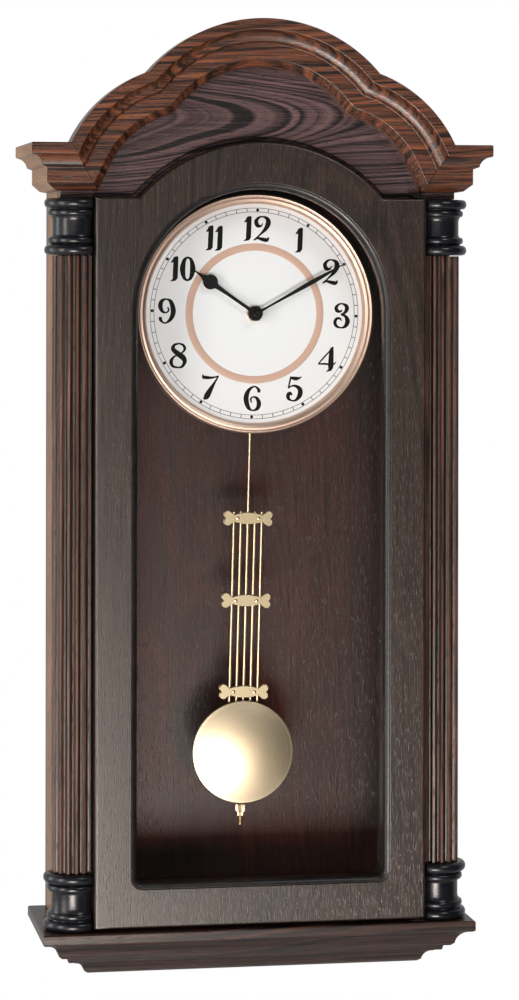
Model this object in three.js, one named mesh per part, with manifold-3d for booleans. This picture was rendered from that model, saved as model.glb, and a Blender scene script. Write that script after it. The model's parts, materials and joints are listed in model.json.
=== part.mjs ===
// Pendulum wall clock: a dark oak case with columns, a glazed door, a quartz movement and a gridiron pendulum.
// Units are millimetres. +X is the clock's right as seen from the front, +Z is up and the front faces -Y.
// The wall is the plane y = 0 and the origin is the nail that the clock hangs on.
// A "depth" is a distance from the wall towards the room, so a point at depth d has y = -d.
import * as THREE from 'three';
import { mergeVertices } from 'three/addons/utils/BufferGeometryUtils.js';
import Module from 'manifold-3d';

const wasm = await Module();
wasm.setup();

// ---------------------------------------------------------------- driving dimensions
const GAP = 0.3;                    // clearance between neighbouring pieces
const EPS = 1;                      // how far a cutting body runs past the face it cuts

// Heights of the case
const CORNICE_TOP = 14;             // top of the straight cornice above the nail
const ARCH_RISE = 90;               // top of the pediment above the cornice
const NECK_Z = CORNICE_TOP - 39.1;  // underside of the neck, on top of the capitals
const PLINTH_TOP = CORNICE_TOP - 564.8;
const CASE_BOTTOM = CORNICE_TOP - 600;

// Half widths and depths of the case
const CORNICE_HALF = 168;
const CORNICE_DEPTH = 118;
const CASE_HALF = 145;
const NECK_DEPTH = 92;
const PLINTH_HALF = 158;
const PLINTH_DEPTH = 109;
const BACK_T = 8;                   // back panel thickness
const BOARD_T = 12;                 // side panels, top board and pediment board
const FRONT_DEPTH = 77.4;           // front edge of the side panels

// Door
const DOOR_HALF = 121;
const DOOR_FRONT = 106;
const DOOR_BACK = 89;
const DOOR_BOTTOM = PLINTH_TOP + 2.4;
const DOOR_SHOULDER = CORNICE_TOP - 38.8;
const DOOR_ARCH_R = 118.6;
const DOOR_ARCH_TOP = CORNICE_TOP + 1.6;
const OPENING_HALF = 90.2;
const OPENING_BOTTOM = CORNICE_TOP - 530.3;
const OPENING_CORNER_R = 4;
const BEAD_W = 4.4;                 // routed bead around the glass
const GLASS_T = 2;
const REBATE_W = 6;                 // how far the glass rebate runs past the opening
const HINGE_X = 116;
const HINGE_DEPTH = 102;
const HINGE_PIN_R = 1.2;
const HINGE_PLATE_T = 1.2;
const CATCH_Z = CORNICE_TOP - 300;
const CATCH_X = -106;

// Columns
const COLUMN_X = 134;
const COLUMN_DEPTH = 84;
const SHAFT_R = 16;
const FLUTES = 16;
const FLUTE_DEPTH = 2.2;
const TURNED_H = 41;                // height of a capital or a base
const RING_R = 21.5;
const SMALL_RING_R = 19;
const COLUMN_FLAT_X = 122.6;         // the side next to the door is cut flat here

// Dial and hands
const HUB_Z = CORNICE_TOP - 122.7;
const BEZEL_R = 87.6;
const BEZEL_INNER_R = 79.2;
const BEZEL_FRONT = 79;
const BEZEL_BACK = 66.3;
const DIAL_R = 80.5;
const DIAL_DEPTH = 72.1;            // rear face of the dial plate
const DIAL_T = 0.9;
const HOUR_ANGLE = 304.7;           // degrees clockwise from 12
const MINUTE_ANGLE = 61;
const HOUR_HAND_LEN = 56;
const MINUTE_HAND_LEN = 75.5;
const HOUR_HAND_DEPTH = 76.6;
const MINUTE_HAND_DEPTH = 79.4;
const HAND_T = 0.7;

// Movement
const MOVE_HALF = 28;
const MOVE_BACK = 47.5;
const MOVE_FRONT = 65.6;
const WALL_T = 1.6;
const BUSH_R = 4.2;
const BUSH_BORE_R = 3;
const BUSH_FRONT = 75.6;
const FIXING_NUT_R = 6.4;
const ARBOR_R = 1.4;
const PIPE_R = 2.5;
const GEAR_DISTANCE = 12;           // centre distance of both motion-work pairs
const MINUTE_TEETH = 12;
const WHEEL_TEETH = 36;
const PINION_TEETH = 10;
const HOUR_TEETH = 40;
const SETTING_ANGLE = 120;          // direction of the setting arbor seen from the motion wheel
const BATTERY_R = 7.1;
const BATTERY_LEN = 49;
const BATTERY_CAP_R = 2.6;

// Pendulum
const PEND_DEPTH = 61;
const PIVOT_DROP = 41;              // pivot below the hub
const TILT = 1.4;                   // rest lean to the left, in degrees
const ROD_R = 1;
const ROD_PITCH = 5.2;
const GRID_PLATE_DROPS = [109.6, 169.9, 236.8];
const BOB_DROP = 280.6;
const BOB_R = 37.5;
const NUT_DROP = 321.9;
const ROD_END_DROP = 334.4;

// ---------------------------------------------------------------- materials
const finish = (color, roughness, metalness) => ({ color, roughness, metalness });
const DARK_OAK = finish(0x4a2d20, 0.5, 0);
const PANEL_OAK = finish(0x5a2a1e, 0.5, 0);
const SIDE_OAK = finish(0x7a4e34, 0.55, 0);
const BLACK_LACQUER = finish(0x15151a, 0.2, 0);
const GLASS = finish(0xdfe8ea, 0.05, 0);
const BRASS = finish(0xc9ad74, 0.35, 1);
const CHAMPAGNE = finish(0xb08a6c, 0.35, 1);
const STEEL = finish(0x9a9a9a, 0.35, 1);
const DIAL_WHITE = finish(0xf4f2ee, 0.6, 0);
const HAND_BLACK = finish(0x0c0c0c, 0.4, 0.3);
const BLACK_PLASTIC = finish(0x222222, 0.5, 0);
const WHITE_PLASTIC = finish(0xe8e8e4, 0.5, 0);
const COPPER = finish(0xb8703a, 0.4, 1);
const BOARD_GREEN = finish(0x1d5a34, 0.5, 0);

// ---------------------------------------------------------------- solids
const clock = new THREE.Group();
clock.name = 'pendulum_wall_clock';

function toSolid(geometry) {
  const bare = geometry.clone();
  bare.deleteAttribute('normal');
  bare.deleteAttribute('uv');
  const merged = mergeVertices(bare, 1e-4);
  const mesh = new wasm.Mesh({
    numProp: 3,
    vertProperties: merged.attributes.position.array,
    triVerts: new Uint32Array(merged.index.array),
  });
  return new wasm.Manifold(mesh);
}

function toGeometry(solid) {
  const mesh = solid.getMesh();
  const geometry = new THREE.BufferGeometry();
  geometry.setAttribute('position', new THREE.BufferAttribute(new Float32Array(mesh.vertProperties), 3));
  geometry.setIndex(new THREE.BufferAttribute(new Uint32Array(mesh.triVerts), 1));
  geometry.computeVertexNormals();
  return geometry;
}

function combine(first, others, operation) {
  let solid = toSolid(first);
  for (const other of others) {
    solid = solid[operation](toSolid(other));
  }
  return toGeometry(solid);
}

const cut = (first, ...others) => combine(first, others, 'subtract');
const join = (first, ...others) => combine(first, others, 'add');
const common = (first, ...others) => combine(first, others, 'intersect');

// A box between two depths, two x and two z values.
function block(x0, x1, depth0, depth1, z0, z1) {
  const geometry = new THREE.BoxGeometry(x1 - x0, depth1 - depth0, z1 - z0);
  return geometry.translate((x0 + x1) / 2, -(depth0 + depth1) / 2, (z0 + z1) / 2);
}

// A flat board: an outline of [x, z] points, with holes, between two depths.
function board(outline, depth0, depth1, holes = []) {
  const shape = new THREE.Shape(outline.map(([x, z]) => new THREE.Vector2(x, z)));
  for (const hole of holes) {
    shape.holes.push(new THREE.Path(hole.map(([x, z]) => new THREE.Vector2(x, z))));
  }
  const geometry = new THREE.ExtrudeGeometry(shape, { depth: depth1 - depth0, bevelEnabled: false });
  return geometry.rotateX(Math.PI / 2).translate(0, -depth0, 0);
}

// A turned piece on a vertical axis, from [radius, z] points.
function turnedUp(profile, segments) {
  const points = profile.map(([r, z]) => new THREE.Vector2(r, z));
  return outward(new THREE.LatheGeometry(points, segments).rotateX(Math.PI / 2));
}

// A turned piece on an axis square to the wall, from [radius, depth] points.
function turnedOut(profile, segments, x, z) {
  const points = profile.map(([r, depth]) => new THREE.Vector2(r, -depth));
  return outward(new THREE.LatheGeometry(points, segments).translate(x, 0, z));
}

const disc = (r, depth0, depth1, segments, x, z) =>
  turnedOut([[0, depth1], [r, depth1], [r, depth0], [0, depth0]], segments, x, z);

const rod = (r, z0, z1, segments) => turnedUp([[0, z0], [r, z0], [r, z1], [0, z1]], segments);

function arc(cx, cz, r, degrees0, degrees1, steps) {
  const points = [];
  for (let i = 0; i <= steps; i += 1) {
    const angle = THREE.MathUtils.degToRad(degrees0 + (degrees1 - degrees0) * i / steps);
    points.push([cx + r * Math.cos(angle), cz + r * Math.sin(angle)]);
  }
  return points;
}

const rectangle = (x0, x1, z0, z1) => [[x0, z0], [x1, z0], [x1, z1], [x0, z1]];

// A closed skin through equal rings of [x, y, z] points, capped at both ends.
function loft(rings) {
  const sides = rings[0].length;
  const positions = rings.flat(2);
  const index = [];
  for (let i = 0; i + 1 < rings.length; i += 1) {
    for (let j = 0; j < sides; j += 1) {
      const a = i * sides + j;
      const b = i * sides + (j + 1) % sides;
      index.push(a, b, a + sides, b, b + sides, a + sides);
    }
  }
  const last = (rings.length - 1) * sides;
  for (const [a, b, c] of capTriangles(rings[0])) {
    index.push(a, c, b);
  }
  for (const [a, b, c] of capTriangles(rings[rings.length - 1])) {
    index.push(last + a, last + b, last + c);
  }
  const geometry = new THREE.BufferGeometry();
  geometry.setAttribute('position', new THREE.Float32BufferAttribute(positions, 3));
  geometry.setIndex(index);
  return outward(geometry);
}

// Triangles of a ring's cap, found in the two coordinates in which the ring is largest.
function capTriangles(ring) {
  const spread = [0, 1, 2].map((k) => Math.max(...ring.map((p) => p[k])) - Math.min(...ring.map((p) => p[k])));
  const thin = spread.indexOf(Math.min(...spread));
  const [u, v] = [0, 1, 2].filter((k) => k !== thin);
  const flat = ring.map((p) => new THREE.Vector2(p[u], p[v]));
  const triangles = THREE.ShapeUtils.triangulateShape(flat, []);
  const corner = (a, b) => flat[a].x * flat[b].y - flat[b].x * flat[a].y;
  const area = triangles.reduce((sum, [a, b, c]) => sum + corner(a, b) + corner(b, c) + corner(c, a), 0);
  const winding = THREE.ShapeUtils.area(flat) * area;
  return winding > 0 ? triangles : triangles.map(([a, b, c]) => [a, c, b]);
}

// Turns a closed mesh inside out where its faces point inwards.
function outward(geometry) {
  const p = geometry.attributes.position;
  const index = geometry.index.array;
  const [a, b, c] = [new THREE.Vector3(), new THREE.Vector3(), new THREE.Vector3()];
  let volume = 0;
  for (let i = 0; i < index.length; i += 3) {
    a.fromBufferAttribute(p, index[i]);
    b.fromBufferAttribute(p, index[i + 1]);
    c.fromBufferAttribute(p, index[i + 2]);
    volume += a.dot(b.cross(c));
  }
  if (volume < 0) {
    for (let i = 0; i < index.length; i += 3) {
      [index[i], index[i + 1]] = [index[i + 1], index[i]];
    }
  }
  geometry.computeVertexNormals();
  return geometry;
}

function add(name, geometry, look, parent = clock) {
  const mesh = new THREE.Mesh(geometry, new THREE.MeshStandardMaterial(look));
  mesh.name = name;
  parent.add(mesh);
  return mesh;
}

const SIDES = [['left', -1], ['right', 1]];

// ---------------------------------------------------------------- outlines shared by several pieces
// The door's outline: straight sides, level shoulders and an arched top. grow makes it larger all round.
function doorOutline(grow, bottom) {
  const r = DOOR_ARCH_R + grow;
  const centreZ = DOOR_ARCH_TOP - DOOR_ARCH_R;
  const shoulder = DOOR_SHOULDER + grow;
  const start = THREE.MathUtils.radToDeg(Math.asin((shoulder - centreZ) / r));
  const half = DOOR_HALF + grow;
  return [
    [-half, bottom],
    [half, bottom],
    [half, shoulder],
    ...arc(0, centreZ, r, start, 180 - start, 24),
    [-half, shoulder],
  ];
}

// The glazed opening: a half round on the dial's centre, straight sides and small bottom corners.
function openingOutline(grow) {
  const half = OPENING_HALF + grow;
  const r = Math.max(OPENING_CORNER_R + grow, GAP);
  const bottom = OPENING_BOTTOM - grow;
  return [
    ...arc(0, HUB_Z, half, 0, 180, 32),
    ...arc(-half + r, bottom + r, r, 180, 270, 3),
    ...arc(half - r, bottom + r, r, 270, 360, 3),
  ];
}

// The top edge of the pediment from the left cornice corner to the right one: two lobes under an arch.
const FOOT_X = 139.8;
const JUNCTION_X = 84;
const JUNCTION_RISE = 51;
const LOBE_R = 99;

function lobe() {
  const chord = Math.hypot(FOOT_X - JUNCTION_X, JUNCTION_RISE);
  const middle = [(FOOT_X + JUNCTION_X) / 2, JUNCTION_RISE / 2];
  const toCentre = Math.sqrt(LOBE_R ** 2 - (chord / 2) ** 2);
  const cx = middle[0] - toCentre * JUNCTION_RISE / chord;
  const cz = middle[1] - toCentre * (FOOT_X - JUNCTION_X) / chord;
  const from = THREE.MathUtils.radToDeg(Math.atan2(-cz, FOOT_X - cx));
  const to = THREE.MathUtils.radToDeg(Math.atan2(JUNCTION_RISE - cz, JUNCTION_X - cx));
  return arc(cx, cz, LOBE_R, from, to, 8);
}

function crown() {
  const r = (JUNCTION_X ** 2 + (ARCH_RISE - JUNCTION_RISE) ** 2) / (2 * (ARCH_RISE - JUNCTION_RISE));
  const start = THREE.MathUtils.radToDeg(Math.acos(JUNCTION_X / r));
  return arc(0, ARCH_RISE - r, r, start, 180 - start, 20);
}

function pedimentPath() {
  const right = lobe();
  const left = right.map(([x, z]) => [-x, z]).reverse();
  const path = [[CORNICE_HALF, 0], ...right, ...crown().slice(1, -1), ...left, [-CORNICE_HALF, 0]];
  return path.map(([x, z]) => [x, z + CORNICE_TOP]);
}

// Mitre vectors of the path: one step inwards from each point, long enough to hold a mitred corner.
function mitres(path) {
  const normal = ([x0, z0], [x1, z1]) => {
    const length = Math.hypot(x1 - x0, z1 - z0);
    return [-(z1 - z0) / length, (x1 - x0) / length];
  };
  return path.map((point, i) => {
    const before = normal(path[Math.max(i - 1, 0)], path[Math.max(i, 1)]);
    const after = normal(path[Math.min(i, path.length - 2)], path[Math.min(i + 1, path.length - 1)]);
    const scale = 1 + before[0] * after[0] + before[1] * after[1];
    return [(before[0] + after[0]) / scale, (before[1] + after[1]) / scale];
  });
}

const PATH = pedimentPath();
const MITRES = mitres(PATH);

function insetOutline(inset, first, last) {
  return PATH.slice(first, last + 1).map(([x, z], i) => {
    const [mx, mz] = MITRES[first + i];
    return [x + mx * inset, z + mz * inset];
  });
}

// ---------------------------------------------------------------- cornice and pediment
// Section of the cornice: [drop below the top edge, inset from the outer face].
const CORNICE_SECTION = [
  [0, 0.6],
  [0.6, 0],
  [8, 0],
  [8.7, 1.2],
  ...arc(16.7, 0.3, 8.05, 180, 96, 4).slice(1),
  [17.4, 12.2],
  [28.4, 12.2],
  [33.4, 18],
  [34.2, 22.4],
];

// One piece of the cornice on the front, between two stations of the path.
function corniceRing(index, backInset, place) {
  const section = [[0, backInset], ...CORNICE_SECTION, [34.2, backInset]];
  return section.map(([drop, inset]) => place(index, drop, inset));
}

const onPath = (index, drop, inset) => {
  const [x, z] = PATH[index];
  const [mx, mz] = MITRES[index];
  return [x + mx * drop, -(CORNICE_DEPTH - inset), z + mz * drop];
};

function archMoulding() {
  const first = 1;
  const last = PATH.length - 2;
  const rings = [];
  for (let i = first; i <= last; i += 1) {
    rings.push(corniceRing(i, CORNICE_DEPTH - NECK_DEPTH - GAP, onPath));
  }
  return loft(rings);
}

function corniceFront(sign) {
  const foot = sign > 0 ? 1 : PATH.length - 2;
  const back = CORNICE_DEPTH - NECK_DEPTH - GAP;
  const atFoot = corniceRing(foot, back, (i, drop, inset) => {
    const [x, y, z] = onPath(i, drop, inset);
    return [x + sign * GAP, y, z];
  });
  const atCorner = corniceRing(foot, back, (i, drop, inset) => [
    sign * (CORNICE_HALF - inset - GAP / 2),
    -(CORNICE_DEPTH - inset),
    CORNICE_TOP - drop,
  ]);
  return loft([atFoot, atCorner]);
}

function corniceReturn(sign) {
  const side = CORNICE_HALF - CASE_HALF - GAP;
  const ring = (depthOf) => corniceRing(0, side, (i, drop, inset) => [
    sign * (CORNICE_HALF - inset),
    -depthOf(inset),
    CORNICE_TOP - drop,
  ]);
  const front = (inset) => CORNICE_DEPTH - inset - GAP / 2;
  const wall = () => 0;
  return loft([ring(front), ring(wall)]);
}

// The pediment board: its top edge follows the moulding. Its bottom is cut out for the door in two steps, a wide
// shadow gap in front and a rear lip that reaches close to the door's outline.
const PEDIMENT_CUT_GAP = 4;
const PEDIMENT_SHOULDER = CORNICE_TOP - 35.9;
const PEDIMENT_STEP = 88.4;          // depth of the lip's front face

function pedimentPanel() {
  const top = insetOutline(2, 1, PATH.length - 2);
  const outline = [
    [CASE_HALF, NECK_Z],
    [CASE_HALF, CORNICE_TOP - 2],
    ...top,
    [-CASE_HALF, CORNICE_TOP - 2],
    [-CASE_HALF, NECK_Z],
  ];
  const sheet = board(outline, NECK_DEPTH - BOARD_T, NECK_DEPTH);
  const r = DOOR_ARCH_R + PEDIMENT_CUT_GAP;
  const centreZ = DOOR_ARCH_TOP - DOOR_ARCH_R;
  const start = THREE.MathUtils.radToDeg(Math.asin((PEDIMENT_SHOULDER - centreZ) / r));
  const hole = [
    [-COLUMN_FLAT_X, NECK_Z - EPS],
    [COLUMN_FLAT_X, NECK_Z - EPS],
    [COLUMN_FLAT_X, PEDIMENT_SHOULDER],
    ...arc(0, centreZ, r, start, 180 - start, 24),
    [-COLUMN_FLAT_X, PEDIMENT_SHOULDER],
  ];
  return cut(
    sheet,
    board(hole, PEDIMENT_STEP, NECK_DEPTH + EPS),
    board(doorOutline(GAP, NECK_Z - EPS), NECK_DEPTH - BOARD_T - EPS, NECK_DEPTH + EPS),
  );
}

add('arch_moulding', archMoulding(), DARK_OAK);
add('pediment_panel', pedimentPanel(), PANEL_OAK);
for (const [side, sign] of SIDES) {
  add(`cornice_front_${side}`, corniceFront(sign), DARK_OAK);
  add(`cornice_return_${side}`, corniceReturn(sign), DARK_OAK);
}

// ---------------------------------------------------------------- carcass
// Keyhole in the hanger plate: a round entry hole under a narrow slot whose top end holds the nail.
const NAIL_R = 2;
const SLOT_R = 2.3;
const HANGER_T = 1.5;
const HANGER_HALF = [23, 9];
const KEYHOLE_ENTRY_R = 4.6;
const KEYHOLE_DROP = 12;

function keyhole(depth0, depth1) {
  const slotTop = NAIL_R - SLOT_R;
  const outline = [
    ...arc(0, slotTop, SLOT_R, 0, 180, 8),
    ...arc(0, -KEYHOLE_DROP, KEYHOLE_ENTRY_R, 120, 420, 14),
  ];
  return board(outline, depth0, depth1);
}

function backPanel() {
  const sheet = block(-CASE_HALF, CASE_HALF, 0, BACK_T, PLINTH_TOP + GAP, CORNICE_TOP);
  const [halfX, halfZ] = HANGER_HALF;
  const seatZ = -KEYHOLE_DROP / 2;
  const seat = block(-halfX - GAP, halfX + GAP, -EPS, 2.2, seatZ - halfZ * 1.6, seatZ + halfZ * 1.6);
  const headPocket = block(-7, 7, -EPS, BACK_T - 1, seatZ - 14, seatZ + 11);
  return cut(sheet, seat, headPocket);
}

function hangerPlate() {
  const [halfX, halfZ] = HANGER_HALF;
  const seatZ = -KEYHOLE_DROP / 2;
  const plate = block(-halfX, halfX, GAP, GAP + HANGER_T, seatZ - halfZ * 1.55, seatZ + halfZ * 1.55);
  return cut(plate, keyhole(-EPS, GAP + HANGER_T + EPS));
}

function sidePanel(sign) {
  const inner = CASE_HALF - BOARD_T;
  const x0 = sign > 0 ? inner : -CASE_HALF;
  return block(x0, x0 + BOARD_T, BACK_T + GAP, FRONT_DEPTH, PLINTH_TOP + GAP, CORNICE_TOP - GAP);
}

function topBoard() {
  const half = CASE_HALF - BOARD_T - GAP;
  return block(-half, half, BACK_T + GAP, FRAME_STEP - GAP, CORNICE_TOP - BOARD_T, CORNICE_TOP - GAP);
}

// The face frame closes the case front behind the door. Its rear half is wider and meets the side panels.
const FRAME_FRONT = DOOR_BACK - 1.3;
const FRAME_STEP = FRONT_DEPTH - GAP;
const FRAME_BACK = 65;
const FRAME_OPENING_GROW = 5;        // the face frame's opening is this much wider than the door's
const MAGNET_R = 4.5;
const MAGNET_T = 3;

function faceFrame() {
  const bottom = PLINTH_TOP + GAP;
  const half = CASE_HALF - BOARD_T - GAP;
  const rear = board(rectangle(-half, half, bottom, CORNICE_TOP - BOARD_T - GAP), FRAME_BACK, FRAME_STEP);
  const front = board(doorOutline(0, bottom), FRAME_STEP - EPS, FRAME_FRONT);
  const opening = board(openingOutline(FRAME_OPENING_GROW), FRAME_BACK - EPS, FRAME_FRONT + EPS);
  const behindPediment = block(-CASE_HALF, CASE_HALF, FRAME_STEP - 2 * EPS, FRAME_STEP, CORNICE_TOP - BOARD_T,
    CORNICE_TOP + 5);
  const plate = join(rear, cut(front, behindPediment));
  const magnetSeat = disc(MAGNET_R + GAP, FRAME_FRONT - MAGNET_T - GAP, FRAME_FRONT + EPS, 16, CATCH_X, CATCH_Z);
  return cut(plate, opening, magnetSeat);
}

// A base board with a routed section on its front and sides: rings of [drop, inset] below its top.
function routedBoard(half, depth, top, section) {
  const rings = section.map(([drop, inset]) => [
    [-(half - inset), 0, top - drop],
    [half - inset, 0, top - drop],
    [half - inset, -(depth - inset), top - drop],
    [-(half - inset), -(depth - inset), top - drop],
  ]);
  return loft(rings);
}

const UPPER_BASE = [[0, 0.8], [0.8, 0], [7, 0], [8, 1.6], ...arc(19.6, 1.4, 11.4, 170, 98, 5), [20.2, 15.2]];
const LOWER_BASE = [[20.5, 20], [21, 19.6], [24.4, 20.4], [25, 25], ...arc(34.4, 24.6, 8.6, 172, 98, 4),
  [35.2, 36]];

add('back_panel', backPanel(), PANEL_OAK);
add('hanger_plate', hangerPlate(), STEEL);
for (const [side, sign] of SIDES) {
  add(`side_panel_${side}`, sidePanel(sign), SIDE_OAK);
}
add('top_board', topBoard(), DARK_OAK);
add('face_frame', faceFrame(), DARK_OAK);
add('base_board_upper', routedBoard(PLINTH_HALF, PLINTH_DEPTH, PLINTH_TOP, UPPER_BASE), DARK_OAK);
add('base_board_lower', routedBoard(PLINTH_HALF, PLINTH_DEPTH, PLINTH_TOP, LOWER_BASE), DARK_OAK);

// ---------------------------------------------------------------- columns
// Section of a capital from its top down: [radius, drop]. A base is the same piece upside down.
const ring = (r, neck, top, height) => arc(0, 0, 1, 90, -90, 4).map(([x, z]) => [
  neck + (r - neck) * Math.abs(x) ** 0.7,
  top + height * (1 - z) / 2,
]);

const TURNED_SECTION = [
  [0, 0],
  ...ring(RING_R, 17.5, 0, 7),
  ...ring(SMALL_RING_R, 17, 8, 4.6),
  [16.2, 14],
  [SHAFT_R - 0.3, 16],
  [SHAFT_R - 0.3, 26],
  ...ring(SMALL_RING_R, 16.6, 27.6, 5),
  ...ring(RING_R, 17, 33.4, 7.4),
  [0, TURNED_H - 0.2],
];

// Half spaces that trim a column flat beside the door and against the case.
const columnRoom = (sign, z0, z1) => block(
  sign > 0 ? COLUMN_FLAT_X : -CORNICE_HALF,
  sign > 0 ? CORNICE_HALF : -COLUMN_FLAT_X,
  FRONT_DEPTH + GAP,
  CORNICE_DEPTH,
  z0,
  z1,
);

function turnedEnd(sign, top, upward) {
  const profile = TURNED_SECTION.map(([r, drop]) => [r, upward ? top - TURNED_H + drop : top - drop]);
  const turned = turnedUp(profile, 28).translate(sign * COLUMN_X, -COLUMN_DEPTH, 0);
  return common(turned, columnRoom(sign, top - TURNED_H - EPS, top + EPS));
}

function flutedShaft(sign, z0, z1) {
  const points = [];
  const perFlute = 6;
  for (let i = 0; i < FLUTES * perFlute; i += 1) {
    const phase = (i % perFlute) / perFlute;
    const groove = Math.max(0, Math.sin((phase - 0.25) / 0.75 * Math.PI));
    const r = SHAFT_R - FLUTE_DEPTH * groove ** 0.6;
    const angle = 2 * Math.PI * i / (FLUTES * perFlute);
    points.push(new THREE.Vector2(r * Math.cos(angle), r * Math.sin(angle)));
  }
  const geometry = new THREE.ExtrudeGeometry(new THREE.Shape(points), { depth: z1 - z0, bevelEnabled: false });
  geometry.translate(sign * COLUMN_X, -COLUMN_DEPTH, z0);
  return common(geometry, columnRoom(sign, z0 - EPS, z1 + EPS));
}

for (const [side, sign] of SIDES) {
  const capitalTop = NECK_Z - GAP;
  const baseTop = PLINTH_TOP + GAP + TURNED_H;
  add(`capital_${side}`, turnedEnd(sign, capitalTop, false), BLACK_LACQUER);
  add(`column_base_${side}`, turnedEnd(sign, baseTop, true), BLACK_LACQUER);
  add(`column_shaft_${side}`, flutedShaft(sign, baseTop + GAP, capitalTop - TURNED_H - GAP), DARK_OAK);
}

// ---------------------------------------------------------------- door
// Closed, the door lies in front of the face frame. It turns on two pins near its front right edge.
const RETAINER_T = 1.5;
const GLASS_FRONT = DOOR_BACK + 4;
const REBATE_FRONT = GLASS_FRONT + GAP;
const PIN_REACH = 8;
const PLATE_BACK = 90;               // the lower hinge plate's rear edge; the upper plate ends at the pediment
const PLATE_FRONT = 104.4;
const PLATE_HALF = 4.8;
const STRIKE_T = 0.8;

function doorFrame() {
  const bead = [[DOOR_FRONT + EPS, BEAD_W], [DOOR_FRONT - 1, BEAD_W], [DOOR_FRONT - 1.8, BEAD_W - 1],
    [DOOR_FRONT - 3.4, 1.8], [DOOR_FRONT - 5.4, 0], [DOOR_BACK - EPS, 0]];
  const hole = loft(bead.map(([depth, grow]) => openingOutline(grow).map(([x, z]) => [x, -depth, z])));
  const rebate = board(openingOutline(REBATE_W), DOOR_BACK - EPS, REBATE_FRONT);
  const bore = (z0, z1) => rod(HINGE_PIN_R + GAP, z0, z1, 16).translate(HINGE_X, -HINGE_DEPTH, 0);
  const strikeSeat = disc(MAGNET_R + GAP, DOOR_BACK - EPS, DOOR_BACK + STRIKE_T + GAP, 16, CATCH_X, CATCH_Z);
  return cut(
    board(doorOutline(0, DOOR_BOTTOM), DOOR_BACK, DOOR_FRONT),
    hole,
    rebate,
    bore(DOOR_BOTTOM - EPS, DOOR_BOTTOM + PIN_REACH + EPS),
    bore(DOOR_SHOULDER - PIN_REACH - EPS, DOOR_SHOULDER + EPS),
    strikeSeat,
  );
}

function hingePlate(z, upwards) {
  const back = upwards ? PLATE_BACK : PEDIMENT_STEP + GAP;
  const leaf = block(HINGE_X - PLATE_HALF, HINGE_X + PLATE_HALF, back, PLATE_FRONT, z, z + HINGE_PLATE_T);
  const [z0, z1] = upwards ? [z, z + PIN_REACH] : [z + HINGE_PLATE_T - PIN_REACH, z + HINGE_PLATE_T];
  return join(leaf, rod(HINGE_PIN_R, z0, z1, 16).translate(HINGE_X, -HINGE_DEPTH, 0));
}

add('door_frame', doorFrame(), DARK_OAK);
add('door_glass', board(openingOutline(REBATE_W - GAP), GLASS_FRONT - GLASS_T, GLASS_FRONT), GLASS);
add(
  'glass_retainer',
  board(openingOutline(REBATE_W - GAP), DOOR_BACK + 0.2, DOOR_BACK + 0.2 + RETAINER_T, [openingOutline(1)]),
  BLACK_PLASTIC,
);
add('strike_plate', disc(MAGNET_R, DOOR_BACK + 0.1, DOOR_BACK + 0.1 + STRIKE_T, 16, CATCH_X, CATCH_Z), STEEL);
add('door_magnet', disc(MAGNET_R, FRAME_FRONT - MAGNET_T, FRAME_FRONT - 0.1, 16, CATCH_X, CATCH_Z), STEEL);
add('hinge_plate_top', hingePlate(DOOR_SHOULDER + 1, false), HAND_BLACK);
add('hinge_plate_bottom', hingePlate(PLINTH_TOP + GAP, true), HAND_BLACK);

// ---------------------------------------------------------------- dial
const SUPPORT_BACK = 66;
const SUPPORT_FRONT = DIAL_DEPTH - GAP;
const CHEEK = [57, 67];             // inner and outer half width of the support's cheeks
const CHEEK_BOTTOM = -42;            // from the hub
const CHEEK_TOP = 40;
const SHELF_T = 8;                   // the board that joins the cheeks at the top

function dialSupport() {
  const [inner, outer] = CHEEK;
  const face = disc(DIAL_R - 1, SUPPORT_BACK, SUPPORT_FRONT, 48, 0, HUB_Z);
  const foot = BACK_T + GAP;
  const shell = block(-outer, outer, foot, SUPPORT_BACK + EPS, HUB_Z + CHEEK_BOTTOM, HUB_Z + CHEEK_TOP);
  const room = block(-inner, inner, foot - EPS, SUPPORT_BACK, HUB_Z + CHEEK_BOTTOM - EPS,
    HUB_Z + CHEEK_TOP - SHELF_T);
  const bushing = disc(BUSH_R + GAP, 0, DIAL_DEPTH, 20, 0, HUB_Z);
  return cut(join(face, cut(shell, room)), bushing);
}

function bezel() {
  const inner = DIAL_R + GAP;
  return turnedOut([
    [inner, DIAL_DEPTH],
    [inner, BEZEL_BACK],
    [BEZEL_R - 1.2, BEZEL_BACK],
    [BEZEL_R, BEZEL_BACK + 1.5],
    [BEZEL_R, BEZEL_FRONT - 2.4],
    [BEZEL_R - 1.3, BEZEL_FRONT],
    [BEZEL_R - 2.4, BEZEL_FRONT - 0.8],
    [BEZEL_R - 6.6, BEZEL_FRONT - 2.4],
    [BEZEL_INNER_R, DIAL_DEPTH + DIAL_T + GAP],
    [inner, DIAL_DEPTH + DIAL_T + GAP],
    [inner, DIAL_DEPTH],
  ], 48, 0, HUB_Z);
}

function dialPlate() {
  return cut(
    disc(DIAL_R, DIAL_DEPTH, DIAL_DEPTH + DIAL_T, 48, 0, HUB_Z),
    disc(BUSH_R + GAP, 0, CORNICE_DEPTH, 20, 0, HUB_Z),
  );
}

// Hands point straight up at the hub before they are turned to the time.
const atAngle = (geometry, degrees, x = 0, z = HUB_Z) =>
  geometry.translate(-x, 0, -z).rotateY(THREE.MathUtils.degToRad(degrees)).translate(x, 0, z);

// A hand from the radius of its hub disc, its right edge as [half width, distance] points, and its bore.
function clockHand(hubR, edge, depth, boreR, degrees) {
  const mirror = edge.map(([x, z]) => [-x, z]).reverse();
  const outline = [...arc(0, 0, hubR, 102, 438, 20), ...edge, ...mirror].map(([x, z]) => [x, z + HUB_Z]);
  const blank = board(outline, depth, depth + HAND_T);
  return atAngle(cut(blank, disc(boreR, 0, CORNICE_DEPTH, 16, 0, HUB_Z)), degrees);
}

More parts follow.
